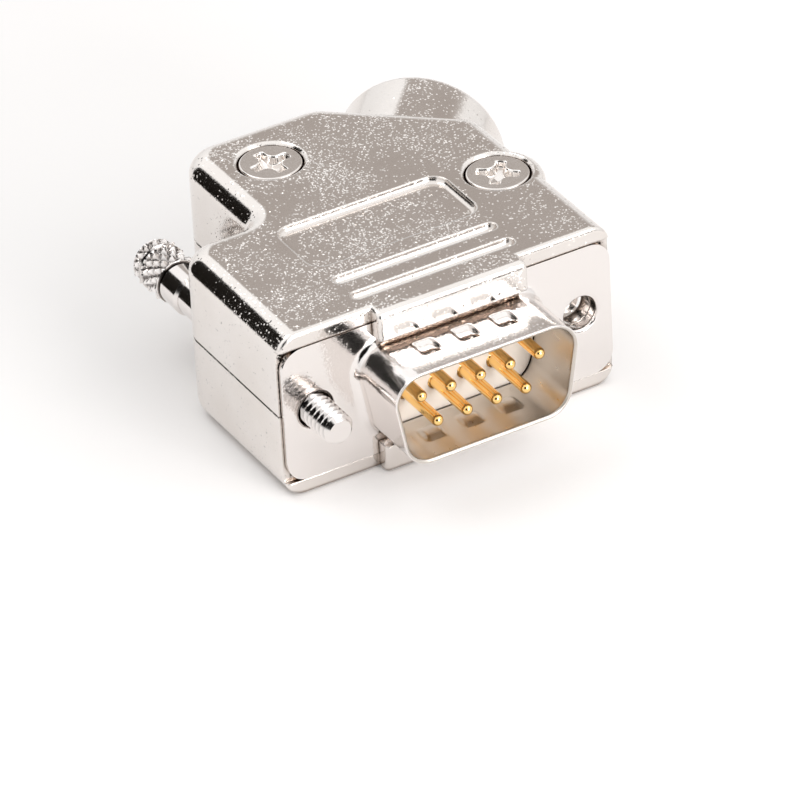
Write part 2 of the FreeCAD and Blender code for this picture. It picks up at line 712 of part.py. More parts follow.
def make_hood_half(name, side):
    """One die-cast half. side is UP for the half above the split and DOWN for the one below."""
    body = new_body(name)
    above = side > 0
    tag = "upper" if above else "lower"

    def pad(sketch, length):
        extrude(body, "Pad", sketch, length, backwards=not above)

    def pocket(sketch, length):
        """From the split plane into the half."""
        extrude(body, "Pocket", sketch, length, backwards=above)

    def pocket_from_face(sketch, length):
        """From the outer face towards the split plane."""
        extrude(body, "Pocket", sketch, length, backwards=not above)

    plan = new_sketch(body, f"plan_{tag}")
    outline(plan, hood_outline())
    pad(plan, top)

    # broad rounding of the long edges, then a small one along the front
    face = top * side
    front = size["lip_front"]

    def long_edge(edge):
        return flat_at(edge, "Z", face) and not flat_at(edge, "Y", front)

    def front_edge(edge):
        return flat_at(edge, "Y", front) and not flat_at(edge, "Z", ZERO)

    def split_edge(edge):
        return flat_at(edge, "Z", ZERO) and not flat_at(edge, "Y", front)

    dress(body, "Fillet", size["edge_round"], long_edge)
    dress(body, "Fillet", size["front_round"], front_edge)
    dress(body, "Chamfer", size["split_break"], split_edge)

    # jaw that reaches over the flange
    jaw = new_sketch(body, f"jaw_{tag}", "YZ_Plane", -size["visor_half_width"])
    reach = -size["visor_reach"]
    inside = front + size["edge_round"]
    low, high = size["visor_edge"] * side, face
    soft = size["visor_round"]
    corners = [(inside, low), (reach, low), (reach, high, soft), (inside, high)]
    outline(jaw, corners if above else corners[::-1])
    extrude(body, "Pad", jaw, size["visor_half_width"] * 2)
    jaw_x = size["visor_half_width"].value
    dress(
        body,
        "Fillet",
        size["front_round"],
        lambda edge: flat_at(edge, "Y", reach) and close(abs(edge.CenterOfMass.x), jaw_x),
    )

    # cable tube: a turned half cylinder with a rounded mouth
    tube = new_sketch(body, f"tube_{tag}")
    start, end = size["slant_distance"] - size["hood_wall"], size["tube_distance"]
    axis_line(tube, along_exit(start, ZERO), along_exit(end, ZERO))
    radius, soft = size["tube_radius"], size["tube_round"]
    outline(
        tube,
        [
            along_exit(start, ZERO),
            along_exit(start, radius),
            (*along_exit(end, radius), soft),
            along_exit(end, ZERO),
        ],
    )
    revolve(body, "Revolution", tube, angle=180.0, backwards=above)

    # bulge round the second screw
    lobe = new_sketch(body, f"lobe_{tag}", "XZ_Plane", -size["screw_two_back"])
    x = size["screw_two_across"]
    axis_line(lobe, (x, ZERO), (x, face))
    rim = size["lobe_radius"]
    corners = [(x, ZERO), (x + rim, ZERO), (x + rim, face, size["lobe_round"]), (x, face)]
    outline(lobe, corners if above else corners[::-1])
    revolve(body, "Revolution", lobe)

    # groove for the flange, and the room in front of it below the jaw
    gap = size["flange_gap"]
    behind = size["side_gap"] if above else gap
    seat = new_sketch(body, f"flange_seat_{tag}")
    outline(seat, rectangle(-FAR, FAR, -gap, size["front_sheet"] + behind))
    pocket(seat, size["flange_half_height"] + gap)
    groove = new_sketch(body, f"flange_groove_{tag}")
    rear_x = size["flange_half_width"] - size["rear_inset"] + gap
    outline(groove, rectangle(-rear_x, rear_x, ZERO, flange_back + gap))
    pocket(groove, size["flange_half_height"] - size["rear_inset"] + gap)
    mouth = new_sketch(body, f"mouth_{tag}")
    outline(mouth, rectangle(-FAR, FAR, -FAR, ZERO))
    pocket(mouth, size["visor_edge"])

    # bay for the rear shell, and the wire space behind it
    bay = new_sketch(body, f"bay_{tag}")
    bay_x = size["bay_half_width"] + size["rear_sheet"] + gap * 2
    bay_height = size["bay_half_height"] + size["rear_sheet"] + gap * 2
    outline(bay, rectangle(-bay_x, bay_x, ZERO, size["insulator_back"] + gap * 2))
    pocket(bay, bay_height)
    passage = new_sketch(body, f"passage_{tag}")
    passage_x = size["passage_half_width"]
    passage_back = size["space_front"] + size["space_corner"] * 2
    outline(passage, rectangle(-passage_x, passage_x, ZERO, passage_back))
    pocket(passage, bay_height)
    space = new_sketch(body, f"wire_space_{tag}")
    outline(space, space_outline())
    pocket(space, top - size["hood_wall"])
    boss = new_sketch(body, f"boss_{tag}")
    circle(boss, size["screw_one_across"], size["screw_one_back"], size["boss_radius"])
    pad(boss, top - size["hood_wall"] / 2)

    # cable's way out, and the square groove that takes a cable insert's flange
    bore = new_sketch(body, f"cable_bore_{tag}")
    bevel = size["mouth_bevel"]
    axis_line(bore, along_exit(size["bore_start"], ZERO), along_exit(end, ZERO))
    outline(
        bore,
        [
            along_exit(size["bore_start"], ZERO),
            along_exit(size["bore_start"], size["cable_bore"]),
            along_exit(end - bevel, size["cable_bore"]),
            along_exit(end, size["cable_bore"] + bevel),
            along_exit(end + bevel, size["cable_bore"] + bevel),
            along_exit(end + bevel, ZERO),
        ],
    )
    revolve(body, "Groove", bore)
    insert = new_sketch(body, f"insert_groove_{tag}")
    near, half = size["insert_start"], size["insert_half_width"]
    outline(
        insert,
        [
            along_exit(near, -half),
            along_exit(near, half),
            along_exit(near + size["insert_length"], half),
            along_exit(near + size["insert_length"], -half),
        ],
    )
    pocket(insert, half)

    # ways for the jackscrews
    run = size["thread_radius"] + size["running_gap"]
    stepped_groove(
        body,
        f"left_way_{tag}",
        -hole_x,
        [
            (ZERO, size["guide_back"], run),
            (size["guide_back"], size["chamber_back"], size["chamber_radius"]),
            (size["chamber_back"], size["ear_depth"] + 1, size["left_shank"] + size["running_gap"]),
        ],
    )
    stepped_groove(
        body, f"right_way_{tag}", hole_x, [(ZERO, size["window_front"] + 1, run)]
    )
    window = new_sketch(body, f"window_{tag}")
    inner_x = hole_x - size["right_knob"] - size["window_margin"]
    outline(window, rectangle(inner_x, FAR, size["window_front"], size["window_back"]))
    pocket(window, size["window_half_height"])

    # screws: seats in the upper half, tapped holes in the lower one
    for number in ("one", "two"):
        x, y = size[f"screw_{number}_across"], size[f"screw_{number}_back"]
        hole = new_sketch(body, f"screw_hole_{number}_{tag}")
        if above:
            circle(hole, x, y, size["screw_radius"] + size["screw_gap"])
            pocket(hole, top)
            seat = new_sketch(body, f"screw_seat_{number}", "XZ_Plane", -y)
            low, bevel = top - size["head_sink"] - size["head_height"], size["head_bevel"]
            r = size["screw_head"] + size["head_gap"]
            axis_line(seat, (x, low), (x, top + bevel))
            corners = [
                (x, low),
                (x + r, low),
                (x + r, top - bevel),
                (x + r + bevel, top),
                (x + r + bevel, top + bevel),
                (x, top + bevel),
            ]
            outline(seat, corners)
            revolve(body, "Groove", seat)
        else:
            circle(hole, x, y, size["screw_radius"] + size["thread_gap"])
            pocket(hole, size["screw_reach"] + size["head_sink"])

    # label recess and grip grooves on the outer face
    label = new_sketch(body, f"label_{tag}", "XY_Plane", face)
    recess = rectangle(
        size["label_left"], size["label_right"], size["label_front"], size["label_back"]
    )
    outline(label, with_radius(recess, size["label_corner"]))
    pocket_from_face(label, size["label_depth"])
    label_floor = (top - size["label_depth"]) * side
    dress(
        body, "Fillet", size["label_depth"] * 0.9, lambda edge: flat_at(edge, "Z", label_floor)
    )
    for place in ("near", "far"):
        y, r = size[f"grip_{place}"], size["grip_radius"]
        left, right = size["grip_left"], size["grip_right"]
        grip = new_sketch(body, f"grip_{place}_{tag}", "XY_Plane", face)
        axis_line(grip, (left, y), (right, y))
        soft = r * 0.95
        corners = [
            (left, y),
            (right, y),
            (right, y + r, soft),
            (left, y + r, soft),
        ]
        outline(grip, corners)
        revolve(body, "Groove", grip)
    return body


def hood_screw(name, x, y, turn):
    """Cross-recessed screw made from Part primitives; turn is the angle of its recess."""

    def placed(kind, part, height, low, **sizes):
        shape = doc.addObject(f"Part::{kind}", f"{name}_{part}")
        for prop, dim in sizes.items():
            setattr(shape, prop, dim.value)
            shape.setExpression(prop, dim.text)
        shape.Height = height.value
        shape.setExpression("Height", height.text)
        shape.setExpression("Placement.Base.x", x.text)
        shape.setExpression("Placement.Base.y", y.text)
        shape.setExpression("Placement.Base.z", low.text)
        return shape

    head_top = top - size["head_sink"]
    head_low = head_top - size["head_height"]
    shank_low = -size["screw_reach"]
    head = placed("Cylinder", "head", size["head_height"], head_low, Radius=size["screw_head"])
    length = head_low - shank_low + size["head_height"] / 2
    shank = placed("Cylinder", "shank", length, shank_low, Radius=size["screw_radius"])
    joined = doc.addObject("Part::Fuse", f"{name}_blank")
    joined.Base, joined.Tool = head, shank
    cutters = []
    for bar, angle in (("bar_a", turn), ("bar_b", turn + 90)):
        arm = doc.addObject("Part::Box", f"{name}_{bar}")
        half_length, half_width = size["cross_length"] / 2, size["cross_width"] / 2
        for prop, dim in (
            ("Length", half_length * 2),
            ("Width", half_width * 2),
            ("Height", size["cross_depth"] * 2),
        ):
            setattr(arm, prop, dim.value)
            arm.setExpression(prop, dim.text)
        arm.Placement = FreeCAD.Placement(
            FreeCAD.Vector(), FreeCAD.Rotation(FreeCAD.Vector(0, 0, 1), angle.value)
        )
        arm.setExpression("Placement.Rotation.Angle", angle.text)
        c, s = cosine(angle), sine(angle)
        corner_x = x - half_length * c + half_width * s
        corner_y = y - half_length * s - half_width * c
        arm.setExpression("Placement.Base.x", corner_x.text)
        arm.setExpression("Placement.Base.y", corner_y.text)
        arm.setExpression("Placement.Base.z", (head_top - size["cross_depth"]).text)
        cutters.append(arm)
    cross = doc.addObject("Part::Fuse", f"{name}_cross")
    cross.Base, cross.Tool = cutters
    screw = doc.addObject("Part::Cut", name)
    screw.Base, screw.Tool = joined, cross
    return screw


def make_hood_screws():
    screws = [
        hood_screw(
            "screw_one",
            size["screw_one_across"],
            size["screw_one_back"],
            size["screw_one_turn"],
        ),
        hood_screw(
            "screw_two",
            size["screw_two_across"],
            size["screw_two_back"],
            size["screw_two_turn"],
        ),
    ]
    group = doc.addObject("Part::Compound", "hood_screws")
    group.Label = "hood_screws"
    group.Links = screws
    return group


# ---------------------------------------------------------------- jackscrews


def turned_piece(name, x, steps):
    """Body turned about an axis along Y at x, from (radius, y) corners between its two ends."""
    body = new_body(name)
    sketch = new_sketch(body, f"turning_{name}", "XY_Plane")
    first_y, last_y = steps[0][1], steps[-1][1]
    axis_line(sketch, (x, first_y), (x, last_y))
    corners = [(x, first_y)] + [(x + radius, y) for radius, y in steps] + [(x, last_y)]
    outline(sketch, corners)
    revolve(body, "Revolution", sketch)
    return body


def neck(clip_front):
    """Groove that a retaining clip sits in, with a little float on each side."""
    front = clip_front - size["clip_float"]
    back = clip_front + size["clip_thickness"] + size["clip_float"]
    thread, narrow = size["thread_radius"], size["neck_radius"]
    return [(thread, front), (narrow, front), (narrow, back), (thread, back)]


def make_thumbscrew_left():
    """Long jackscrew: thread, clip groove, shank, collar and knob."""
    tip, thread, bevel = -size["left_tip"], size["thread_radius"], size["tip_bevel"]
    knob, knob_bevel = size["left_knob"], size["knob_bevel"]
    shank, collar = size["left_shank"], size["left_collar"]
    front, back = size["left_knob_front"], size["left_knob_back"]
    ring = back - size["knob_groove_place"]
    deep = size["knob_groove"]
    taper = shank - thread
    steps = (
        [(thread - bevel, tip), (thread, tip + bevel)]
        + neck(size["left_clip"])
        + [
            (thread, size["left_thread_end"]),
            (shank, size["left_thread_end"] + taper),
            (shank, size["left_collar_front"]),
            (collar, size["left_collar_front"] + (collar - shank)),
            (collar, front - deep),
            (collar - deep, front),
            (knob - knob_bevel, front),
            (knob, front + knob_bevel),
            (knob, ring - deep),
            (knob - deep, ring),
            (knob, ring + deep),
            (knob, back - knob_bevel),
            (knob - knob_bevel, back),
        ]
    )
    return turned_piece("thumbscrew_left", -hole_x, steps)


def make_thumbscrew_right():
    """Short jackscrew whose knob runs in the window of the hood's right side."""
    tip, thread, bevel = size["right_tip"], size["thread_radius"], size["tip_bevel"]
    knob, knob_bevel = size["right_knob"], size["knob_bevel"]
    front, back = size["right_knob_front"], size["right_knob_back"]
    steps = (
        [(thread - bevel, tip), (thread, tip + bevel)]
        + neck(size["right_clip"])
        + [
            (thread, front),
            (knob - knob_bevel, front),
            (knob, front + knob_bevel),
            (knob, back - knob_bevel),
            (knob - knob_bevel, back),
        ]
    )
    return turned_piece("thumbscrew_right", hole_x, steps)


def make_retaining_clip(name, x, front):
    """Spring-steel clip: a ring with a mouth, pushed on the jackscrew's neck from above."""
    body = new_body(name)
    plate = new_sketch(body, f"ring_{name}", "XZ_Plane", -front)
    circle(plate, x, ZERO, size["clip_radius"])
    circle(plate, x, ZERO, size["neck_radius"] + size["running_gap"])
    extrude(body, "Pad", plate, size["clip_thickness"], backwards=True)
    mouth = new_sketch(body, f"mouth_{name}", "XZ_Plane", -front)
    half = size["clip_slot"] / 2
    outline(mouth, rectangle(x - half, x + half, ZERO, size["clip_radius"] * 2))
    extrude(body, "Pocket", mouth, size["clip_thickness"])
    return body


# ---------------------------------------------------------------- build

parts = [
    make_plug_shell(),
    make_rear_shell(),
    make_insulator_front(),
    make_insulator_rear(),
]
for number, x, z in contact_places():
    parts.append(make_contact(number, x, z, UP if z.value > 0 else DOWN))
parts += [
    make_hood_half("hood_upper", UP),
    make_hood_half("hood_lower", DOWN),
    make_hood_screws(),
    make_thumbscrew_left(),
    make_thumbscrew_right(),
    make_retaining_clip("retaining_clip_left", -hole_x, size["left_clip"]),
    make_retaining_clip("retaining_clip_right", hole_x, size["right_clip"]),
]
doc.recompute()

for item in doc.Objects:
    if "Invalid" in item.State or "Error" in item.State:
        raise RuntimeError(f"{item.Name} failed: {item.State}")
for part in parts:
    if part.Shape.isNull() or not part.Shape.isValid():
        raise RuntimeError(f"{part.Label} has no valid shape")

os.makedirs("parts", exist_ok=True)
for part in parts:
    part.Shape.exportStep(f"parts/{part.Label}.step")
    print(part.Label, len(part.Shape.Solids), round(part.Shape.Volume, 2))
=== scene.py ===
# %% [markdown]
# # A D-sub plug in its angled hood
# The plug is a small metal object: two die-cast hood halves, a shell drawn from
# thin sheet, nine gold contacts, two cross-recessed screws and two jackscrews.
# The solids arrive with their real shapes. This script gives them their
# surfaces, and adds what is too fine to be a solid: the threads, the knurled
# knobs, the struck cross recesses and the soft bends of the drawn sheet.

# %% Load the solids
import math

import bmesh
import bpy
import numpy as np
from mathutils import Matrix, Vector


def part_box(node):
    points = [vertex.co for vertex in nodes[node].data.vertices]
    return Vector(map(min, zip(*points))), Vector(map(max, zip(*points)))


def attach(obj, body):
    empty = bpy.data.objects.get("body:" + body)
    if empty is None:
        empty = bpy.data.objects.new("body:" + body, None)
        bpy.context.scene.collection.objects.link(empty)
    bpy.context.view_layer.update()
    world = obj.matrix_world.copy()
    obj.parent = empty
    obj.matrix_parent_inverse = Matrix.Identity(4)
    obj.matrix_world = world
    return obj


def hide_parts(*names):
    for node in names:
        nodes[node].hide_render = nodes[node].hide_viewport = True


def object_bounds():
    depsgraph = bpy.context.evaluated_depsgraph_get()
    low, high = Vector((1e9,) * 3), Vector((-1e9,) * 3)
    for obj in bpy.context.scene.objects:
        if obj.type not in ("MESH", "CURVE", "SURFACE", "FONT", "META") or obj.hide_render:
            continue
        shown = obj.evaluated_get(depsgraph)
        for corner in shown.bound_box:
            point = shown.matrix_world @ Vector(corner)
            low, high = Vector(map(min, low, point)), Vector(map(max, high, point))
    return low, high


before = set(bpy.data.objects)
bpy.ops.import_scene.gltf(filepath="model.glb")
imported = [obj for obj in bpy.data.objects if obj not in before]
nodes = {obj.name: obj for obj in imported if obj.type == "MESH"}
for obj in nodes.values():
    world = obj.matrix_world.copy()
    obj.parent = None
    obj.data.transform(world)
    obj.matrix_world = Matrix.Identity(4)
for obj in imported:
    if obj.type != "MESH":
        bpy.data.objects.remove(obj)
solid_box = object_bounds()
MM = 0.001
print("solids:", len(nodes))
print("box in mm:", [[round(float(v) / MM, 2) for v in corner] for corner in solid_box])

# %% [markdown]
# A material starts from a colour written as a hex value, as in any drawing
# program. Those values are sRGB, and the renderer works with linear light, so
# one function converts them. A second function adds a node and wires it in one
# line, which keeps each material readable from top to bottom.


# %% Helpers for colour and nodes
def linear(hex_value):
    """sRGB hex to linear: a channel c becomes c/12.92 below 0.04045, else ((c+0.055)/1.055)^2.4."""
    c = np.array([int(hex_value[i : i + 2], 16) for i in (1, 3, 5)]) / 255
    out = np.where(c <= 0.04045, c / 12.92, ((c + 0.055) / 1.055) ** 2.4)
    return (*out.tolist(), 1.0)


def add(tree, kind, settings=None, **inputs):
    """Adds one node. settings are its properties; inputs are numbers, colours or sockets to link.

    An input is named by its socket, with _ for a space, or by its place as i0, i1 and so on.
    """
    node = tree.nodes.new("ShaderNode" + kind)
    for name, value in (settings or {}).items():
        setattr(node, name, value)
    for name, value in inputs.items():
        key = int(name[1:]) if name[0] == "i" and name[1:].isdigit() else name.replace("_", " ")
        socket = node.inputs[key]
        if isinstance(value, bpy.types.NodeSocket):
            tree.links.new(value, socket)
        else:
            socket.default_value = value
    return node


def new_material(name, preview):
    """An empty node material; preview is the colour that the solid view shows."""
    material = bpy.data.materials.new(name)
    material.use_nodes = True
    material.diffuse_color = linear(preview)
    material.node_tree.nodes.clear()
    return material, material.node_tree


print("mid grey, #808080, in linear light:", round(linear("#808080")[0], 3))

# %% [markdown]
# ## Grain: tiny tilted mirrors
# A matt metal isn't covered with soft bumps, but with small facets that each
# mirror another part of the room. Cells of a Voronoi pattern stand for the
# facets. White noise, looked up once for each cell, gives it its own tilt: most
# cells lie nearly level, and a share of them stands steep and sparkles.


# %% Grain
slight = 0.025


def grain(tree, place, cells, share, steep, facing):
    """The normal facing, tilted cell by cell. share is the part of the cells that stands steep.

    tilt = (random colour - 0.5) * lean, and the lean is steep in the chosen cells, slight in
    the others. cells is their number to the metre.
    """
    facets = add(tree, "TexVoronoi", Vector=place, Scale=cells)
    chance = add(tree, "TexWhiteNoise", Vector=facets.outputs["Position"])
    chosen = add(
        tree, "Math", {"operation": "LESS_THAN"}, i0=chance.outputs["Value"], i1=share
    )
    lean = add(tree, "MapRange", i0=chosen.outputs[0], i3=slight, i4=steep)
    aim = add(
        tree, "VectorMath", {"operation": "SUBTRACT"},
        i0=chance.outputs["Color"], i1=(0.5, 0.5, 0.5),
    )
    tilt = add(tree, "VectorMath", {"operation": "SCALE"}, i0=aim.outputs[0], Scale=lean.outputs[0])
    leaning = add(tree, "VectorMath", {"operation": "ADD"}, i0=facing, i1=tilt.outputs[0])
    return add(tree, "VectorMath", {"operation": "NORMALIZE"}, i0=leaning.outputs[0]).outputs[0]


print("level facets lean along an axis by degrees:", round(math.degrees(slight / 2), 1))

# %% [markdown]
# ## Painted shade in the joints
# Little light reaches a narrow joint, so the colour is painted dark as shade
# where surfaces nearly meet. Ambient occlusion measures just that: how
# much of the sky over a point is hidden by something closer than a distance.


# %% Painted shade in the joints
shut, open_sky = 0.3, 0.85


def shaded_in_joints(tree, colour, dark, reach):
    """The colour, painted dark as shade where most of the sky is hidden closer than reach metres.

    plain share = (visible sky - shut) / (open_sky - shut), from 0, all painted shade, to 1, no
    shade.
    """
    sky = add(tree, "AmbientOcclusion", {"samples": 8}, Distance=reach)
    unshaded = add(tree, "MapRange", i0=sky.outputs["AO"], i1=shut, i2=open_sky)
    plating = linear(colour) if isinstance(colour, str) else colour
    return add(
        tree, "Mix", {"data_type": "RGBA"}, i0=unshaded.outputs[0], i6=linear(dark), i7=plating
    ).outputs[2]


# the painted shade is gone where a point sees this much of the sky
print("plating is clean where it sees this much of the sky:", open_sky)

# %% [markdown]
# ## The hood: die-cast zinc, nickel plated
# Molten zinc is pressed into a steel die whose faces are spark eroded, so the
# casting has a fine even grain of about an eighth of a millimetre, under thin
# bright nickel. The die is rougher in some places, so a slow noise changes how
# many facets stand steep. A shallow bump is the orange peel of the plating.


# %% Die-cast zinc
def die_cast_zinc():
    """Nickel-plated casting: warm grey with fine white sparkle, and softly rounded edges."""
    material, tree = new_material("die_cast_zinc_nickel_plated", "#D8D0C9")
    place = add(tree, "TexCoord").outputs["Object"]
    # where the die is rougher: patches of 6 mm
    patches = add(tree, "TexNoise", i0=place, Scale=170.0, Detail=3.0)
    share = add(tree, "MapRange", i0=patches.outputs[0], i1=0.38, i2=0.66, i3=0.02, i4=0.22)
    # no cast edge is sharp: a quarter of a millimetre of rounding, too fine for solid fillets
    worn = add(tree, "Bevel", {"samples": 6}, Radius=0.00024)
    # grain of 0.12 mm, which is 8300 to the metre
    facets = grain(tree, place, 8300.0, share.outputs[0], 0.5, worn.outputs[0])
    # orange peel of the plating: waves of 1.2 mm
    peel = add(tree, "TexNoise", i0=place, Scale=800.0, Detail=1.0)
    skin = add(tree, "Bump", Strength=0.2, Distance=0.00002, Height=peel.outputs[0], Normal=facets)
    warmth = add(tree, "MapRange", i0=patches.outputs[0], i1=0.35, i2=0.65)
    tint = add(
        tree, "Mix", {"data_type": "RGBA"}, i0=warmth.outputs[0],
        i6=linear("#E4DED9"), i7=linear("#EAE5E1"),
    )
    # painted shade: the base colour darkens to brown where surfaces come within 0.8 mm of each
    # other
    shader = add(
        tree, "BsdfPrincipled", Base_Color=shaded_in_joints(tree, tint.outputs[2], "#84705F", 0.0008),
        Metallic=1.0, Roughness=0.12, Normal=skin.outputs[0],
    )
    add(tree, "OutputMaterial", Surface=shader.outputs[0])
    return material


zinc = die_cast_zinc()
print("nodes in the zinc:", len(zinc.node_tree.nodes))

# %% [markdown]
# ## The other metals
# The shell is pressed from smooth sheet and nickel plated, so it is nearly a
# mirror, only softened by fine lines along the way it was drawn. The contacts
# are turned from a copper alloy and gold plated, with faint turning rings. The
# screws and jackscrews are bright nickel. All of these are one recipe: noise
# squeezed along one axis, used as a faint bump and as uneven gloss, over a
# little of the same grain. Real lines are a few hundredths of a millimetre
# wide, which is too fine to show, so they are drawn about 0.2 mm wide.


# %% Smooth metals
fine_grain, fine_share, joint_reach = 9000.0, 0.3, 0.0005


def smooth_metal(name, colour, dark, roughness, scratch_scale, stretch, bump, steep=0.0):
    """Plated metal with fine lines. scratch_scale is lines to the metre, stretch their run.

    Gloss goes from 0.7 to 1.4 times the roughness, along the lines. steep above 0 adds grain.
    """
    material, tree = new_material(name, colour)
    place = add(tree, "TexCoord").outputs["Object"]
    squeezed = add(tree, "Mapping", Vector=place, Scale=stretch)
    lines = add(tree, "TexNoise", i0=squeezed.outputs[0], Scale=scratch_scale, Detail=3.0)
    relief = add(tree, "Bump", Strength=bump, Distance=0.00001, Height=lines.outputs[0])
    if steep:
        facing = add(tree, "NewGeometry").outputs["Normal"]
        facets = grain(tree, place, fine_grain, fine_share, steep, facing)
        tree.links.new(facets, relief.inputs["Normal"])
    gloss = add(tree, "MapRange", i0=lines.outputs[0], i3=roughness * 0.7, i4=roughness * 1.4)
    # painted shade: the colour turns to dark where surfaces come closer than joint_reach
    shader = add(
        tree, "BsdfPrincipled", Base_Color=shaded_in_joints(tree, colour, dark, joint_reach),
        Metallic=1.0, Roughness=gloss.outputs[0], Normal=relief.outputs[0],
    )
    add(tree, "OutputMaterial", Surface=shader.outputs[0])
    return material


print("fine grain in mm:", round(1 / fine_grain / MM, 2))

# %% [markdown]
# ## The insulators: moulded plastic
# Glass-filled polyester is shot into a polished mould, so it is even and cream
# white, with a soft gloss. A single colour would look like paper: a slow noise
# of a millimetre and a half lets the tint wander a little, as the melt flowed.


# %% Moulded plastic
def moulded_thermoplastic():
    """Glass-filled polyester: cream white, slightly uneven where it flowed, softly glossy."""
    material, tree = new_material("moulded_pbt_white", "#F5EFE9")
    place = add(tree, "TexCoord").outputs["Object"]
    flow = add(tree, "TexNoise", i0=place, Scale=700.0, Detail=3.0)
    warmth = add(tree, "MapRange", i0=flow.outputs[0], i1=0.3, i2=0.7)
    tint = add(
        tree, "Mix", {"data_type": "RGBA"}, i0=warmth.outputs[0],
        i6=linear("#FAF2EA"), i7=linear("#FFF8F0"),
    )
    relief = add(tree, "Bump", Strength=0.15, Distance=0.00002, Height=flow.outputs[0])
    shader = add(
        tree, "BsdfPrincipled", Base_Color=tint.outputs[2], Roughness=0.42, IOR=1.55,
        Normal=relief.outputs[0],
    )
    add(tree, "OutputMaterial", Surface=shader.outputs[0])
    return material


plastic = moulded_thermoplastic()
print("nodes in the plastic:", len(plastic.node_tree.nodes))

# %% [markdown]
# ## One finish for each piece
# Each call below is one real finish, with a line on what it gives the eye. Then
# every solid gets the finish of the piece that it is. The nine contacts share
# the gold one.


# %% Finishes
# pressed steel, nickel plated: almost a mirror, streaked the way it was drawn
sheet = smooth_metal(
    "nickel_plated_drawn_sheet", "#ECE7E4", "#8C7868", roughness=0.11,
    scratch_scale=4000.0, stretch=(1.0, 0.15, 1.0), bump=0.1, steep=0.08,
)
# the shroud's inside: half matt, and greyer as painted shade inside the mouth
duller_and_shaded = smooth_metal(
    "drawn_sheet_inside", "#CBC4BC", "#7A6A5E", roughness=0.3,
    scratch_scale=4000.0, stretch=(1.0, 0.15, 1.0), bump=0.15,
)
# turned copper alloy, gold plated: a warm mirror with faint rings
gold = smooth_metal(
    "gold_plated_turned_alloy", "#FFD48A", "#C07A2C", roughness=0.15,
    scratch_scale=6000.0, stretch=(0.2, 1.0, 0.2), bump=0.12,
)
# cold-headed steel, nickel plated: smooth, with a breath of grain
nickel = smooth_metal(
    "nickel_plated_steel_screw", "#EAE5E1", "#9A8B80", roughness=0.15,
    scratch_scale=5000.0, stretch=(1.0, 1.0, 0.3), bump=0.15, steep=0.04,
)
# turned steel, bright nickel: a sharp mirror, painted dark as shade between the knurl's teeth
bright = smooth_metal(
    "bright_nickel_jackscrew", "#E6E1DE", "#352B26", roughness=0.12,
    scratch_scale=5000.0, stretch=(0.3, 1.0, 0.3), bump=0.1,
)
# hardened and oiled spring steel: dark grey, half matt
spring = smooth_metal(
    "oiled_spring_steel", "#8E8A86", "#3A3430", roughness=0.3,
    scratch_scale=5000.0, stretch=(1.0, 1.0, 1.0), bump=0.2,
)
metals = (zinc, sheet, duller_and_shaded, gold, nickel, bright, spring)
print("metals:", [metal.name for metal in metals])

# %% Give each solid its finish
finishes = {
    "hood_upper": zinc,
    "hood_lower": zinc,
    "hood_screws": nickel,
    "plug_shell": sheet,
    "rear_shell": sheet,
    "insulator_front": plastic,
    "insulator_rear": plastic,
    "thumbscrew_left": bright,
    "thumbscrew_right": bright,
    "retaining_clip_left": spring,
    "retaining_clip_right": spring,
}
for name, node in nodes.items():
    node.data.materials.clear()
    node.data.materials.append(finishes.get(name, gold))
print("materials given:", len(nodes))

# %% [markdown]
# ## Surfaces on a grid
# Every new piece is made of grids: points in rows and columns, joined by quads.
# The columns close on themselves, so each grid is a tube, and a fan of triangles
# closes an open end. Grids of one piece that share an edge are merged there.


# %% Grids to a mesh
def quads_of(index):
    """Quads between neighbouring rows and columns; the last column joins the first."""
    right = np.roll(index, -1, axis=1)
    return np.stack([index[:-1], right[:-1], right[1:], index[1:]], axis=-1).reshape(-1, 4)


def build_piece(name, grids, body, materials, replaces, sharp=38):
    """One closed piece from grids of (points in mm, capped, material place of each row).

    A capped grid has its first and last rows closed by a fan to their middle. Points closer
    than 2 micrometres become one. Edges that turn by more than sharp degrees stay crisp.
    """
    vertices, faces, places, start = [], [], [], 0
    for points, capped, place in grids:
        rows, columns = points.shape[:2]
        index = np.arange(rows * columns).reshape(rows, columns) + start
        faces += quads_of(index).tolist()
        places += np.repeat(np.broadcast_to(place, rows - 1), columns).tolist()
        vertices.append(points.reshape(-1, 3))
        start += rows * columns
        for row in (0, -1) if capped else ():
            fan = np.stack([np.full(columns, start), np.roll(index[row], -1), index[row]], axis=-1)
            faces += fan.tolist()
            places += [int(np.max(place))] * columns
            vertices.append(points[row].mean(0)[None])
            start += 1
    mesh = bpy.data.meshes.new(name)
    mesh.from_pydata((np.concatenate(vertices) * MM).tolist(), [], faces)
    mesh.polygons.foreach_set("material_index", places)
    for material in materials:
        mesh.materials.append(material)
    merged = bmesh.new()
    merged.from_mesh(mesh)
    bmesh.ops.remove_doubles(merged, verts=merged.verts, dist=0.002 * MM)
    bmesh.ops.recalc_face_normals(merged, faces=merged.faces)
    open_edges = sum(len(edge.link_faces) != 2 for edge in merged.edges)
    merged.to_mesh(mesh)
    merged.free()
    mesh.shade_smooth()
    mesh.set_sharp_from_angle(angle=math.radians(sharp))
    piece = bpy.data.objects.new(name, mesh)
    bpy.context.scene.collection.objects.link(piece)
    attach(piece, body)
    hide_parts(*replaces)
    print(name, "faces:", len(mesh.polygons), "open edges:", open_edges)


print("quads in a tube of 3 rows and 8 columns:", len(quads_of(np.arange(24).reshape(3, 8))))

# %% Lines, arcs and angles
def flat(across, upward):
    """(x, z) points; a single number is repeated along the other list."""
    return np.stack(np.broadcast_arrays(across, upward), axis=1)


def along_profile(corners, step):
    """Points a + (b - a) * part along straight runs between corners, at most one step apart."""
    corners = np.array(corners, float)
    out = [corners[:1]]
    for a, b in zip(corners[:-1], corners[1:]):
        count = max(1, int(np.ceil(np.linalg.norm(b - a) / step)))
        out.append(a + (b - a) * (np.arange(1, count + 1) / count)[:, None])
    return np.concatenate(out)


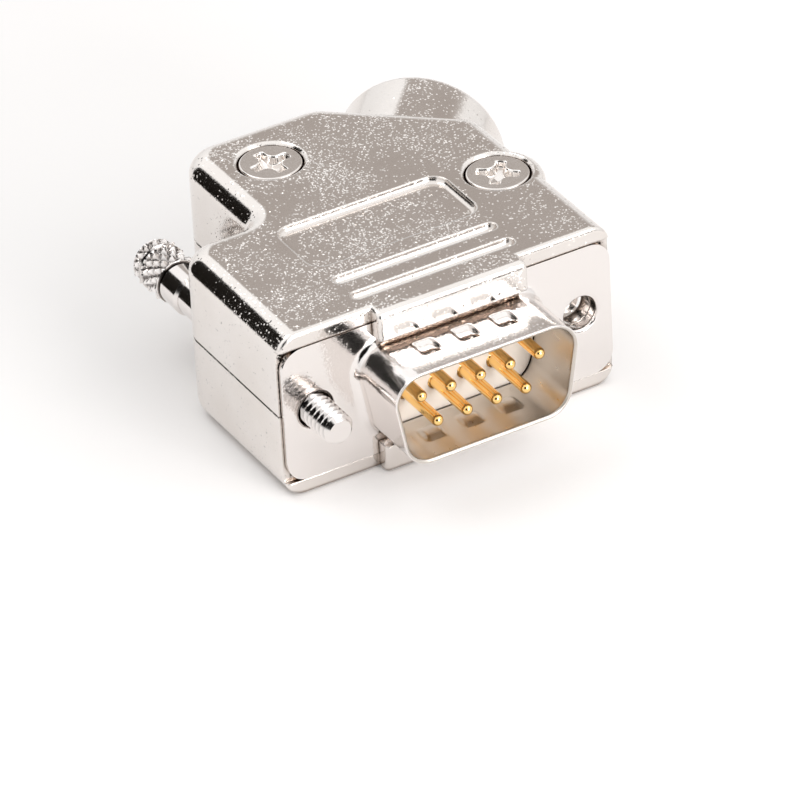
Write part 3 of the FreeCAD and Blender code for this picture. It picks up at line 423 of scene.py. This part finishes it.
def arc(middle, radius, start, end, count):
    """Points middle + radius * (cos, sin) from one angle to another, in degrees."""
    angle = np.radians(np.linspace(start, end, count))[:, None]
    return np.array(middle) + radius * np.concatenate([np.cos(angle), np.sin(angle)], axis=1)


def full_turn(count):
    """One row of count equal angles round a full turn, 2 pi * k / count."""
    return 2 * np.pi * np.arange(count)[None] / count


def saw(phase):
    """Triangle wave 1 - |2 * fraction - 1|: 0 at whole numbers, 1 half way between."""
    return 1 - np.abs(2 * (phase % 1) - 1)


def eased(t):
    """Smooth step: 3 t^2 - 2 t^3 for t from 0 to 1."""
    return t**2 * (3 - 2 * t)


print("the end of a quarter arc:", arc((0, 0), 1.0, 0, 90, 2)[-1].round(3).tolist())


# %% [markdown]
# ## The plug's shell: sheet drawn into a D
# A press draws the shroud out of the flange, so the metal bends softly where
# they meet, the fixing holes have rolled rims, and six dimples are pushed in
# to grip the mating socket. Extruding a D and bevelling it would do for the
# straight parts, but not for the dimples, so the whole sheet is a grid. Its
# columns go round the D and its rows follow the sheet's section: out along the
# inside, round the lip, back along the outside, round the bend, and over the
# flange to its edge. The dimples are a smooth push along the wall's normal.


# %% Outline of the D
def rounded(corners, radius, count):
    """Closed outline through rounded corners: even points and outward normals, counter-clockwise.

    Each corner is an arc of the radius, tangent to both sides. Between arcs it is straight.
    """
    per_corner = 24
    corners = np.array(corners, float)
    points, normals = [], []
    for i, corner in enumerate(corners):
        before, after = corners[i - 1], corners[(i + 1) % len(corners)]
        a = (corner - before) / np.linalg.norm(corner - before)
        b = (after - corner) / np.linalg.norm(after - corner)
        outward = np.array([a[1], -a[0]])
        turn = np.arccos(np.clip(a @ b, -1, 1))
        middle = corner - a * radius * np.tan(turn / 2) - outward * radius
        way = np.linspace(0, 1, per_corner)[:, None] * turn
        direction = outward * np.cos(way) + a * np.sin(way)
        points.append(middle + direction * radius)
        normals.append(direction)
    points, normals = np.concatenate(points), np.concatenate(normals)
    loop, facing = np.vstack([points, points[:1]]), np.vstack([normals, normals[:1]])
    length = np.concatenate([[0], np.cumsum(np.linalg.norm(np.diff(loop, axis=0), axis=1))])
    at = np.linspace(0, length[-1], count, endpoint=False)
    out = np.stack([np.interp(at, length, loop[:, k]) for k in (0, 1)], axis=1)
    face = np.stack([np.interp(at, length, facing[:, k]) for k in (0, 1)], axis=1)
    return out, face / np.linalg.norm(face, axis=1)[:, None]


half_width, half_height, lean, d_corner = 8.58, 4.0, math.radians(10), 2.1
narrow = half_width - 2 * half_height * math.tan(lean)
d_corners = [
    (-narrow, -half_height), (narrow, -half_height),
    (half_width, half_height), (-half_width, half_height),
]
d_points, d_normals = rounded(d_corners, d_corner, 2400)
print("D outline points:", len(d_points))

# %% Columns round the centre of the flange
flange_x, flange_z, flange_corner, sheet_thick = 15.405, 6.25, 1.9, 0.5
seam = 9.9  # the flange's middle part ends here and its two ears begin
root, wall, shroud_depth = 0.8, 0.38, 6.2
across = np.linspace(-seam, seam, 101)
upward = np.linspace(-flange_z, flange_z, 63)
centre_edge = np.concatenate([
    flat(seam, upward[:-1]), flat(across[:0:-1], flange_z),
    flat(-seam, upward[:0:-1]), flat(across[:-1], -flange_z),
])
# each point of that edge gets the point of the D that lies in the same direction
ring = d_points + d_normals * (wall + root)
bearing = np.unwrap(np.arctan2(ring[:, 1], ring[:, 0]))
wanted = np.arctan2(centre_edge[:, 1], centre_edge[:, 0])
wanted = bearing[0] + (wanted - bearing[0]) % (2 * np.pi)
round_trip = np.append(bearing, bearing[0] + 2 * np.pi)
column = np.stack([
    np.interp(wanted, round_trip, np.append(values[:, k], values[0, k]))
    for values in (d_points, d_normals) for k in (0, 1)
], axis=1)
d_at, d_out = column[:, :2], column[:, 2:]
print("columns round the D:", len(d_at))

# %% Section of the drawn sheet
# (distance outwards from the D, place along Y), from the flange's back to its front
lip_in, lip_out = 0.27, 0.1
inner_bend = root + wall
bend_start = sheet_thick - inner_bend
bend_in = arc((inner_bend, bend_start), inner_bend, 90, 180, 10)
straight_in = flat(0, np.linspace(bend_start, -(shroud_depth - lip_in), 46))[1:]
lip = arc((lip_in, lip_in - shroud_depth), lip_in, 180, 270, 6)[1:]
section = np.concatenate([
    bend_in, straight_in, lip,
    arc((wall - lip_out, lip_out - shroud_depth), lip_out, 270, 360, 5),
    flat(wall, np.linspace(-(shroud_depth - lip_out), -root, 46))[1:],
    arc((wall + root, -root), root, 180, 90, 9)[1:],
])
inside_rows = len(bend_in) + len(straight_in) + len(lip)
away, along = section[:, :1], section[:, 1:]


def dimple_push(x, z_out, y):
    """How far the six dimples push the wall in: a trough along Y with soft sides.

    trough = (1 - (y / half length)^2)^1.25. Only the two long walls, whose normal looks up or
    down, have dimples.
    """
    spacing, half_long, half_wide, deep, middle = 3.6, 1.1, 0.9, 0.3, -2.9
    soft_side, overlap = 0.3, 0.08
    trough = np.clip(1 - ((y - middle) / half_long) ** 2, 0, 1) ** 1.25
    push = 0
    for step in (-1, 0, 1):
        inside = half_wide + overlap - np.abs(x - step * spacing)
        push = push + eased(np.clip(inside / soft_side, 0, 1))
    long_wall = np.clip((np.abs(z_out) - 0.9) / 0.1, 0, 1)
    return deep * trough * push * long_wall


push = dimple_push(d_at[None, :, 0], d_out[None, :, 1], along)
offset = away - push
drawn = np.stack([
    d_at[None, :, 0] + d_out[None, :, 0] * offset,
    along + 0 * offset,
    d_at[None, :, 1] + d_out[None, :, 1] * offset,
], axis=-1)
print("section rows:", len(section), "deepest dimple:", round(float(push.max()), 2))


# %% Flat parts, fixing holes and rim
def at_depth(points, y):
    """Flat (x, z) points as 3-D points at one depth."""
    return np.stack([points[:, 0], np.full(len(points), y), points[:, 1]], axis=1)


def between(a, b, count):
    """Rows a * (1 - way) + b * way, from one ring of points to another."""
    way = np.linspace(0, 1, count)[:, None, None]
    return a[None] * (1 - way) + b[None] * way


plate = between(drawn[-1], at_depth(centre_edge, 0.0), 5)[1:]
sleeve = np.concatenate([drawn, plate])
finish_place = np.zeros(len(sleeve) - 1, int)
# the rows inside the shroud take the greyer, half matt copy: painted shade
finish_place[:inside_rows] = 1
grids = [
    (sleeve, False, finish_place),
    (between(at_depth(centre_edge, sheet_thick), drawn[0], 3), False, 0),
]
print("rows of the sleeve:", len(sleeve), "of them duller:", inside_rows)

# %% Ears with their fixing holes, and the flange's edge
# a fixing hole ends in a collar behind the sheet, and has a rolled rim in front
hole_place, hole, rim, collar_end = 12.495, 1.52, 0.35, 1.0
straight_x, straight_z = flange_x - flange_corner, flange_z - flange_corner
bore_rows = np.concatenate([
    [(hole + rim, sheet_thick), (hole + rim, collar_end), (hole, collar_end), (hole, 0.6)],
    arc((hole + rim, rim), rim, 180, 270, 8),
])
seam_side = upward[-2:0:-1]
rims = []
for side in (1, -1):
    hole_x = hole_place * side
    ear = side * np.concatenate([
        flat(np.linspace(seam, straight_x, 19), -flange_z),
        arc((straight_x, -straight_z), flange_corner, 270, 360, 14)[1:],
        flat(flange_x, np.linspace(-straight_z, straight_z, 44)[1:-1]),
        arc((straight_x, straight_z), flange_corner, 0, 90, 14)[:-1],
        flat(np.linspace(straight_x, seam, 19), flange_z),
        flat(seam, seam_side),
    ])
    bearing = np.arctan2(ear[:, 1], ear[:, 0] - hole_x)[None]
    tube = np.stack([
        hole_x + bore_rows[:, :1] * np.cos(bearing),
        bore_rows[:, 1:] + 0 * bearing,
        bore_rows[:, :1] * np.sin(bearing),
    ], axis=-1)
    front = between(tube[-1], at_depth(ear, 0.0), 5)[1:]
    grids.append((np.concatenate([tube, front]), False, 0))
    grids.append((between(at_depth(ear, sheet_thick), tube[0], 3), False, 0))
    rims.append(ear[:-len(seam_side)])
flange_edge = np.concatenate([
    rims[0], flat(across[-2:0:-1], flange_z), rims[1], flat(across[1:-1], -flange_z),
])
edge_rows = np.stack([at_depth(flange_edge, 0.0), at_depth(flange_edge, sheet_thick)])
grids.append((edge_rows, False, 0))
build_piece(
    "shell_of_drawn_sheet", grids, "hood", [sheet, duller_and_shaded], ["plug_shell"], sharp=50
)

# %% [markdown]
# ## Contacts: turned, then scooped
# A contact is turned from rod: a round tip to find its socket, a straight pin,
# a shoulder that the insulators hold, and a bored cup whose side is milled
# away so that a wire can be laid in and soldered. A turned piece is a radius
# that depends only on the place along the axis. The scoop is the one thing
# that isn't turned: it ends the cup's wall sooner on one side, so the last
# rows let their place depend on the angle too.


# %% Contacts
def turned(profile, x, z, angle):
    """Rings (x + radius * sin, y, z + radius * cos): the angle goes round, (radius, y) along."""
    return np.stack([
        x + profile[:, :1] * np.sin(angle),
        profile[:, 1:] + 0 * angle,
        z + profile[:, :1] * np.cos(angle),
    ], axis=-1)


# radii, then places along the contact, all in millimetres
pin, grip, shoulder, cup, cup_bore = 0.51, 0.68, 0.86, 0.95, 0.66
pin_tip, shoulder_front, cup_front, cup_floor, cup_end, scooped = -5.4, 1.4, 4.4, 7.2, 10.0, 2.1


def contact_rings(x, z, opens):
    """Pin, shoulder and cup, as rings about (x, z); opens is 1 upwards and -1 downwards.

    The cup's rim = its end - scooped * side, where side goes from 0 to 1 on the side that opens.
    """
    angle = full_turn(56)
    profile = np.concatenate([
        arc((0.0, pin_tip + pin), pin, 270, 360, 12)[1:],
        along_profile([(pin, -4.8), (pin, 0.05)], 0.6),
        [(0.53, 0.08), (0.6, 0.12), (grip, 0.15), (grip, shoulder_front)],
        [(shoulder, shoulder_front), (shoulder, cup_front), (cup, cup_front)],
    ])
    steepness = 12
    side = np.clip(np.cos(angle) * opens * steepness, -1, 1) * 0.5 + 0.5
    rim = cup_end - scooped * side
    way = np.linspace(0, 1, 8)[:, None]
    outside = cup_front + (rim - cup_front) * way[1:]
    inside = cup_floor + (rim - cup_floor) * way[::-1]
    y = np.concatenate([outside, inside])
    radius = np.concatenate([np.full((7, 1), cup), np.full((8, 1), cup_bore)])
    walls = np.stack([x + radius * np.sin(angle), y, z + radius * np.cos(angle)], axis=-1)
    return np.concatenate([turned(profile, x, z, angle), walls])


pitch, row_height = 2.77, 1.42
for number in range(1, 10):
    upper = number <= 5
    x = pitch * (number - 3 if upper else number - 7.5)
    up = 1 if upper else -1
    rings = contact_rings(x, up * row_height, up)
    build_piece(
        f"turned_contact_{number}", [(rings, True, 0)],
        "hood", [gold], [f"contact_{number}"],
    )

# %% [markdown]
# ## Hood screws: cross recess and thread
# The head is struck cold by a punch, which leaves a cross whose inner corners
# bulge softly and whose floor rises towards the ends of the arms. The head is
# a round grid seen from above, and the recess is only a depth worked out at
# every point of it: how far the point lies beyond the four rounded corners.


# %% Cross recess and thread form
def recess_depth(u, v):
    """Depth of the cross at (u, v), which run along its arms: floor * side * end.

    side rises to 1 over wall_run, beyond four corner posts whose corners are rounded by soft.
    end falls to 0 over end_run, at the tips of the arms.
    floor = deep - rise * place along the arm / length, so the middle is deepest.
    """
    half_arm, soft, length = 0.5, 0.75, 1.85
    deep, rise, wall_run, end_run = 0.9, 0.35, 0.3, 0.2
    u, v = np.abs(u), np.abs(v)
    post = half_arm + soft
    beyond = np.hypot(np.clip(post - u, 0, None), np.clip(post - v, 0, None)) - soft
    far = np.maximum(u, v)
    side = eased(np.clip(beyond / wall_run, 0, 1))
    end = eased(np.clip((length - far) / end_run, 0, 1))
    return (deep - rise * far / length) * side * end


def thread_form(phase, land):
    """V thread of height 1, one turn to each whole number of the phase.

    (saw(phase) - land) / (1 - 2 * land), cut at 0 and 1, which leaves root and crest flat.
    """
    return np.clip((saw(phase) - land) / (1 - 2 * land), 0, 1)


print("the cross is deep in mm:", round(float(recess_depth(0, 0)), 2))

# %% Hood screws
# radii and heights in millimetres
head, head_top, head_low = 2.68, 7.55, 5.95
shank, shank_end, shank_chamfer, plain_shank = 1.5, -5.4, 1.3, 1.2
screw_pitch, screw_depth = 0.5, 0.24


def hood_screw_rings(x, y, turned_by):
    """Head with its recess, then the shank: radius = line - depth * (1 - thread form).

    The thread climbs one pitch a turn, and fades in over 0.5 mm below the plain shank.
    """
    angle = full_turn(192)
    face = np.linspace(0.03, 2.5, 58)[:, None]
    from_arm = angle - math.radians(turned_by)
    face_z = head_top - recess_depth(face * np.cos(from_arm), face * np.sin(from_arm))
    edge = np.array([
        (2.56, head_top), (2.59, head_top - 0.01), (2.65, head_top - 0.08),
        (head, head_top - 0.12), (head, head_low), (shank, head_low),
    ])
    corners = [(shank, head_low), (shank, shank_end + 0.3), (shank_chamfer, shank_end)]
    line = along_profile(corners, 0.1)
    form = thread_form(line[:, 1:] / screw_pitch + angle / (2 * np.pi), 0.1)
    threaded = np.clip((head_low - plain_shank - line[:, 1:]) / 0.5, 0, 1)
    shank_radius = line[:, :1] - screw_depth * (1 - form) * threaded
    radius = np.concatenate([face + 0 * angle, edge[:, :1] + 0 * angle, shank_radius])
    z = np.concatenate([face_z, edge[:, 1:] + 0 * angle, line[:, 1:] + 0 * angle])
    return np.stack([x + radius * np.cos(angle), y + radius * np.sin(angle), z], axis=-1)


screws = [
    (hood_screw_rings(-2.5, 24.4, turned_by=8.0), True, 0),
    (hood_screw_rings(12.2, 12.2, turned_by=50.0), True, 0),
]
build_piece("cross_recessed_screws", screws, "hood", [nickel], ["hood_screws"], sharp=55)

# %% [markdown]
# ## Jackscrews: one surface for the thread, the shank and the knurled knob
# A screw is almost a turned piece: its radius depends on where we are along it
# and, in the thread and the knurl, also on the angle. So one surface
# r(angle, length) makes the whole of it. The thread subtracts a V that climbs
# one pitch a turn; the knurl subtracts two such families that cross, which
# leaves the small pyramids that a knurling wheel presses.


# %% Surface of a jackscrew
# a 4-40 thread has 40 turns to the inch, which is a pitch of 0.635 mm
crest, neck, jack_depth, jack_pitch = 1.42, 1.1, 0.3, 0.635
knurl_depth, knurl_lead, knurl_fade, knurl_crest = 0.42, 1.45, 0.15, 0.85


def screw_surface(x, corners, threaded, knurled, teeth, around, step):
    """Rings about an axis along Y, where radius = profile - thread - knurl.

    corners are the profile's (y, radius); threaded and knurled are ranges of y.
    thread = depth * (1 - thread form of y / pitch - turns), faded over a pitch at its ends.
    waves = the smaller of saw(teeth * turns + y / lead) and saw(teeth * turns - y / lead).
    knurl = depth * (1 - waves / knurl_crest, at least 0), faded at its ends.
    """
    line = along_profile(corners, step)
    y = line[:, :1]
    turns = np.arange(around)[None] / around
    radius = np.repeat(line[:, 1:], around, axis=1)
    low, high = threaded
    form = thread_form(y / jack_pitch - turns, 0.12)
    fade = np.clip((y - low) / jack_pitch, 0, 1) * np.clip((high - y) / jack_pitch, 0, 1)
    cut = crest - jack_depth * (1 - form) * fade
    radius = np.where((y >= low) & (y <= high), np.minimum(radius, cut), radius)
    for low, high in knurled:
        waves = np.minimum(saw(turns * teeth + y / knurl_lead), saw(turns * teeth - y / knurl_lead))
        valley = 1 - np.clip(waves / knurl_crest, 0, 1)
        fade = np.clip((y - low) / knurl_fade, 0, 1) * np.clip((high - y) / knurl_fade, 0, 1)
        radius = radius - knurl_depth * valley * fade
    angle = 2 * np.pi * turns
    return np.stack([x + radius * np.sin(angle), y + 0 * radius, radius * np.cos(angle)], axis=-1)


print("thread turns to the inch:", round(25.4 / jack_pitch))

# %% Left jackscrew
low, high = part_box("thumbscrew_left")
left_x, tip = (low.x + high.x) / 2 / MM, low.y / MM
left_profile = [
    # tip, thread and the neck for the clip
    (tip, 1.0), (tip + 0.42, crest), (5.05, crest), (5.05, neck), (5.65, neck), (5.65, crest),
    # shank and collar
    (8.0, crest), (8.18, 1.6), (20.4, 1.6), (20.65, 1.85), (22.9, 1.85), (23.2, 1.6),
    # knob, with a ring groove
    (23.2, 1.95), (23.45, 2.2), (25.8, 2.2), (26.05, 1.9), (26.3, 2.2), (27.1, 2.2), (27.4, 1.9),
]
left_rings = screw_surface(
    left_x, left_profile, threaded=(tip - 0.5, 4.4),
    knurled=[(23.25, 25.85), (26.2, 27.35)], teeth=14, around=224, step=0.08,
)
build_piece(
    "jackscrew_left", [(left_rings, True, 0)],
    "left_jackscrew", [bright], ["thumbscrew_left"],
)

# %% Right jackscrew
low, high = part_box("thumbscrew_right")
right_x, tip = (low.x + high.x) / 2 / MM, low.y / MM
right_profile = [
    # tip, thread and the neck for the clip
    (tip, 1.0), (tip + 0.42, crest), (6.3, crest), (6.3, neck), (6.9, neck), (6.9, crest),
    # knob, close behind the neck
    (6.95, 2.9), (7.25, 3.2), (8.8, 3.2), (9.1, 2.9),
]
right_rings = screw_surface(
    right_x, right_profile, threaded=(tip - 0.5, 5.2),
    knurled=[(7.0, 9.05)], teeth=20, around=260, step=0.075,
)
build_piece(
    "jackscrew_right", [(right_rings, True, 0)],
    "right_jackscrew", [bright], ["thumbscrew_right"],
)

# %% [markdown]
# ## Table
# The table is a plain white card. It is a matt surface that the lights make
# white, so it keeps the part's soft shadow, in plain sight and in the metal
# that mirrors it.


# %% White card
def mirror_ray(tree, path):
    """1 for a ray that comes from a mirror or through glass, 0 for any other."""
    return add(
        tree, "Math", {"operation": "MAXIMUM"},
        i0=path.outputs["Is Glossy Ray"], i1=path.outputs["Is Transmission Ray"],
    ).outputs[0]


def white_card():
    """Matt white, with a faint glow that only the camera and mirrors see."""
    material, tree = new_material("white_card", "#FFFFFF")
    path = add(tree, "LightPath")
    mirrored = mirror_ray(tree, path)
    seen = add(
        tree, "Math", {"operation": "MAXIMUM"}, i0=path.outputs["Is Camera Ray"], i1=mirrored
    )
    card = add(tree, "BsdfDiffuse", Color=linear("#F6F4F3"))
    glow = add(tree, "Emission", Color=linear("#FFFFFF"), Strength=0.1)
    both = add(tree, "AddShader", i0=card.outputs[0], i1=glow.outputs[0])
    mix = add(tree, "MixShader", i0=seen.outputs[0], i1=card.outputs[0], i2=both.outputs[0])
    add(tree, "OutputMaterial", Surface=mix.outputs[0])
    return material


def flat_card(name, corners, material):
    """One staged rectangle through four corners in metres."""
    mesh = bpy.data.meshes.new(name)
    mesh.from_pydata(corners, [], [(0, 1, 2, 3)])
    mesh.materials.append(material)
    rectangle = bpy.data.objects.new(name, mesh)
    bpy.context.scene.collection.objects.link(rectangle)


base = solid_box[0].z
half_table = 2.0
round_corners = ((-1, -1), (1, -1), (1, 1), (-1, 1))
table_corners = [(x * half_table, y * half_table, base) for x, y in round_corners]
flat_card("table", table_corners, white_card())
print("table at z mm:", round(base / MM, 2))

# %% [markdown]
# A black card stands on the table, behind on the left. The rounded edges of the
# hood mirror it as a dark line, which is what makes them look like polished
# metal. Only a reflection meets it: to any other ray it is transparent, so it
# hides nothing and takes no light away.


# %% Black card
def black_card():
    """Matt black to a reflection, and transparent to any other ray."""
    ink = "#15120F"
    material, tree = new_material("black_card", ink)
    path = add(tree, "LightPath")
    clear = add(tree, "BsdfTransparent")
    black = add(tree, "BsdfDiffuse", Color=linear(ink))
    mix = add(
        tree, "MixShader", i0=path.outputs["Is Glossy Ray"], i1=clear.outputs[0],
        i2=black.outputs[0],
    )
    add(tree, "OutputMaterial", Surface=mix.outputs[0])
    return material


# its direction from straight behind, then its distance, half width and height in metres
card_bearing, card_away, half_card, tall = math.radians(-38), 0.080, 0.022, 0.070
foot = np.array([math.sin(card_bearing), math.cos(card_bearing), 0]) * card_away + [0, 0, base]
beside = np.array([math.cos(card_bearing), -math.sin(card_bearing), 0]) * half_card
low_edge = [foot - beside, foot + beside]
card_corners = low_edge + [corner + [0, 0, tall] for corner in reversed(low_edge)]
flat_card("black_card", [corner.tolist() for corner in card_corners], black_card())
print("black card stands", round(card_away / MM), "mm away")

# %% [markdown]
# ## Light tent
# Polished metal has almost no look of its own: it shows the room. The room
# here is a white tent with a brighter roof and three far cards. A grey card
# stands behind on the right, where the level faces look, so they read as warm
# grey: its edges are close to what they mirror, so a facet that leans a little
# already sparkles white. The dark gap in front is where a person would stand,
# and a brown one beside it draws the bends of the sheet. The world is a
# function of direction only: a card is a range of bearing and of height.
# Matt things are lit by an even white, so that their colours stay as written.


# %% World
world = bpy.data.worlds.new("light_tent")
bpy.context.scene.world = world
world.use_nodes = True
tree = world.node_tree
tree.nodes.clear()
toward = add(tree, "TexCoord").outputs["Generated"]
parts = add(tree, "SeparateXYZ", i0=toward)
bearing = add(tree, "Math", {"operation": "ARCTAN2"}, i0=parts.outputs["X"], i1=parts.outputs["Y"])
height = add(tree, "Math", {"operation": "ARCSINE"}, i0=parts.outputs["Z"])


def risen(low, high, start=0.0, end=1.0):
    """Goes smoothly from start to end while the height goes from low to high degrees."""
    return add(
        tree, "MapRange", {"interpolation_type": "SMOOTHSTEP"}, i0=height.outputs[0],
        i1=math.radians(low), i2=math.radians(high), i3=start, i4=end,
    ).outputs[0]


def card(middle, half, edge):
    """1 inside a card at (bearing, height) degrees with half sizes, falling to 0 over its edge.

    Each of the two masks = 1 - smooth step of |angle - middle| from half - edge to half + edge.
    """
    masks = []
    for angle, centre, size in zip((bearing, height), middle, half):
        shift = add(
            tree, "Math", {"operation": "SUBTRACT"}, i0=angle.outputs[0], i1=math.radians(centre)
        )
        apart = add(tree, "Math", {"operation": "ABSOLUTE"}, i0=shift.outputs[0])
        masks.append(add(
            tree, "MapRange", {"interpolation_type": "SMOOTHSTEP"}, i0=apart.outputs[0],
            i1=math.radians(size - edge), i2=math.radians(size + edge), i3=1.0, i4=0.0,
        ).outputs[0])
    return add(tree, "Math", {"operation": "MULTIPLY"}, i0=masks[0], i1=masks[1]).outputs[0]


def over(below, mask, colour):
    """Lays a colour over another where the mask is 1."""
    mix = add(tree, "Mix", {"data_type": "RGBA"}, i0=mask, i6=below, i7=linear(colour))
    return mix.outputs[2]


roof = risen(0, 40, start=1.0, end=1.2)
tent = add(tree, "CombineXYZ", i0=roof, i1=roof, i2=roof).outputs[0]
# a grey card behind on the right, graded: it fades to white towards the table
grey_card = card((45, 17.5), (23, 20), 1.5)
graded = add(tree, "Math", {"operation": "MULTIPLY"}, i0=grey_card, i1=risen(4, 25))
tent = over(tent, graded.outputs[0], "#B9B2AD")
# the dark gap in front, and the brown card beside it
tent = over(tent, card((-148, 23), (22, 20), 3), "#0E0C0B")
tent = over(tent, card((150, 13), (10, 13), 4), "#4A3A31")
print("nodes in the tent:", len(tree.nodes))

# %% Who sees the tent
# the camera sees a white backdrop, mirrors see the tent, and matt things an even white
path = add(tree, "LightPath")
backdrop = add(tree, "Background", Color=linear("#FFFFFF"), Strength=1.0)
reflected = add(tree, "Background", Color=tent, Strength=1.0)
plain_light = add(tree, "Background", Color=linear("#FFFFFF"), Strength=0.72)
room = add(
    tree, "MixShader", i0=mirror_ray(tree, path), i1=plain_light.outputs[0], i2=reflected.outputs[0]
)
shown = add(
    tree, "MixShader", i0=path.outputs["Is Camera Ray"], i1=room.outputs[0], i2=backdrop.outputs[0]
)
add(tree, "OutputWorld", Surface=shown.outputs[0])
print("nodes in the world:", len(tree.nodes))

# %% [markdown]
# ## Lamps
# The tent lights the object evenly, which gives no shadow. Three square lamps
# give it one: the first stands high behind on the left, and two in front light
# the jaw and the mouth of the plug. They are large for so small an object, so
# the edge of the shadow is soft.


# %% Lamps
def level_and_upright(back):
    """The level axis and the upright axis of something whose back points along back."""
    level = np.cross([0, 0, 1.0], back)
    level = level / np.linalg.norm(level)
    return level, np.cross(back, level)


def standing(right, up, back, place):
    """Matrix of a lamp or a camera, from its three axes and its place in metres."""
    return Matrix([[right[i], up[i], back[i], place[i]] for i in range(3)] + [[0, 0, 0, 1]])


def soft_box(name, place, aim, side, power):
    """Square area lamp that looks from place to aim, both in millimetres."""
    lamp = bpy.data.lights.new(name, "AREA")
    lamp.shape = "SQUARE"
    lamp.size = side * MM
    lamp.energy = power
    lamp.color = (1.0, 0.99, 0.98)
    box = bpy.data.objects.new(name, lamp)
    bpy.context.scene.collection.objects.link(box)
    start, target = np.array(place) * MM, np.array(aim) * MM
    back = (start - target) / np.linalg.norm(start - target)
    box.matrix_world = standing(*level_and_upright(back), back, start)
    print(name, "stands", round(float(np.linalg.norm(start)), 2), "m away")


soft_box("key_back_left", (-130, 200, 380), (0, 10, 0), side=200, power=0.3)
soft_box("fill_front_right", (170, -290, 250), (0, 0, 0), side=260, power=0.45)
soft_box("fill_mouth", (45, -260, 60), (0, 0, 0), side=100, power=0.35)

# %% [markdown]
# ## Camera
# A long lens far away keeps parallel edges nearly parallel, as in a catalogue.


# %% Camera
azimuth, elevation, roll = math.radians(-28.437), math.radians(33.416), math.radians(-3.336)
distance, slide_x, slide_y = 575.9, 4.043, 3.128
back = np.array([
    math.sin(azimuth) * math.cos(elevation),
    -math.cos(azimuth) * math.cos(elevation),
    math.sin(elevation),
])
level, upright = level_and_upright(back)
right = math.cos(roll) * level + math.sin(roll) * upright
up = -math.sin(roll) * level + math.cos(roll) * upright
eye = (distance * back - slide_x * right - slide_y * up) * MM
lens = bpy.data.cameras.new("camera")
lens.sensor_width = 36.0
lens.lens = 319.0
lens.clip_start, lens.clip_end = 0.05, 20.0
camera = bpy.data.objects.new("camera", lens)
camera.matrix_world = standing(right, up, back, eye)
bpy.context.scene.collection.objects.link(camera)
bpy.context.scene.camera = camera
bpy.context.scene.view_settings.view_transform = "Standard"
print("camera stands", round(float(np.linalg.norm(eye)), 3), "m away")
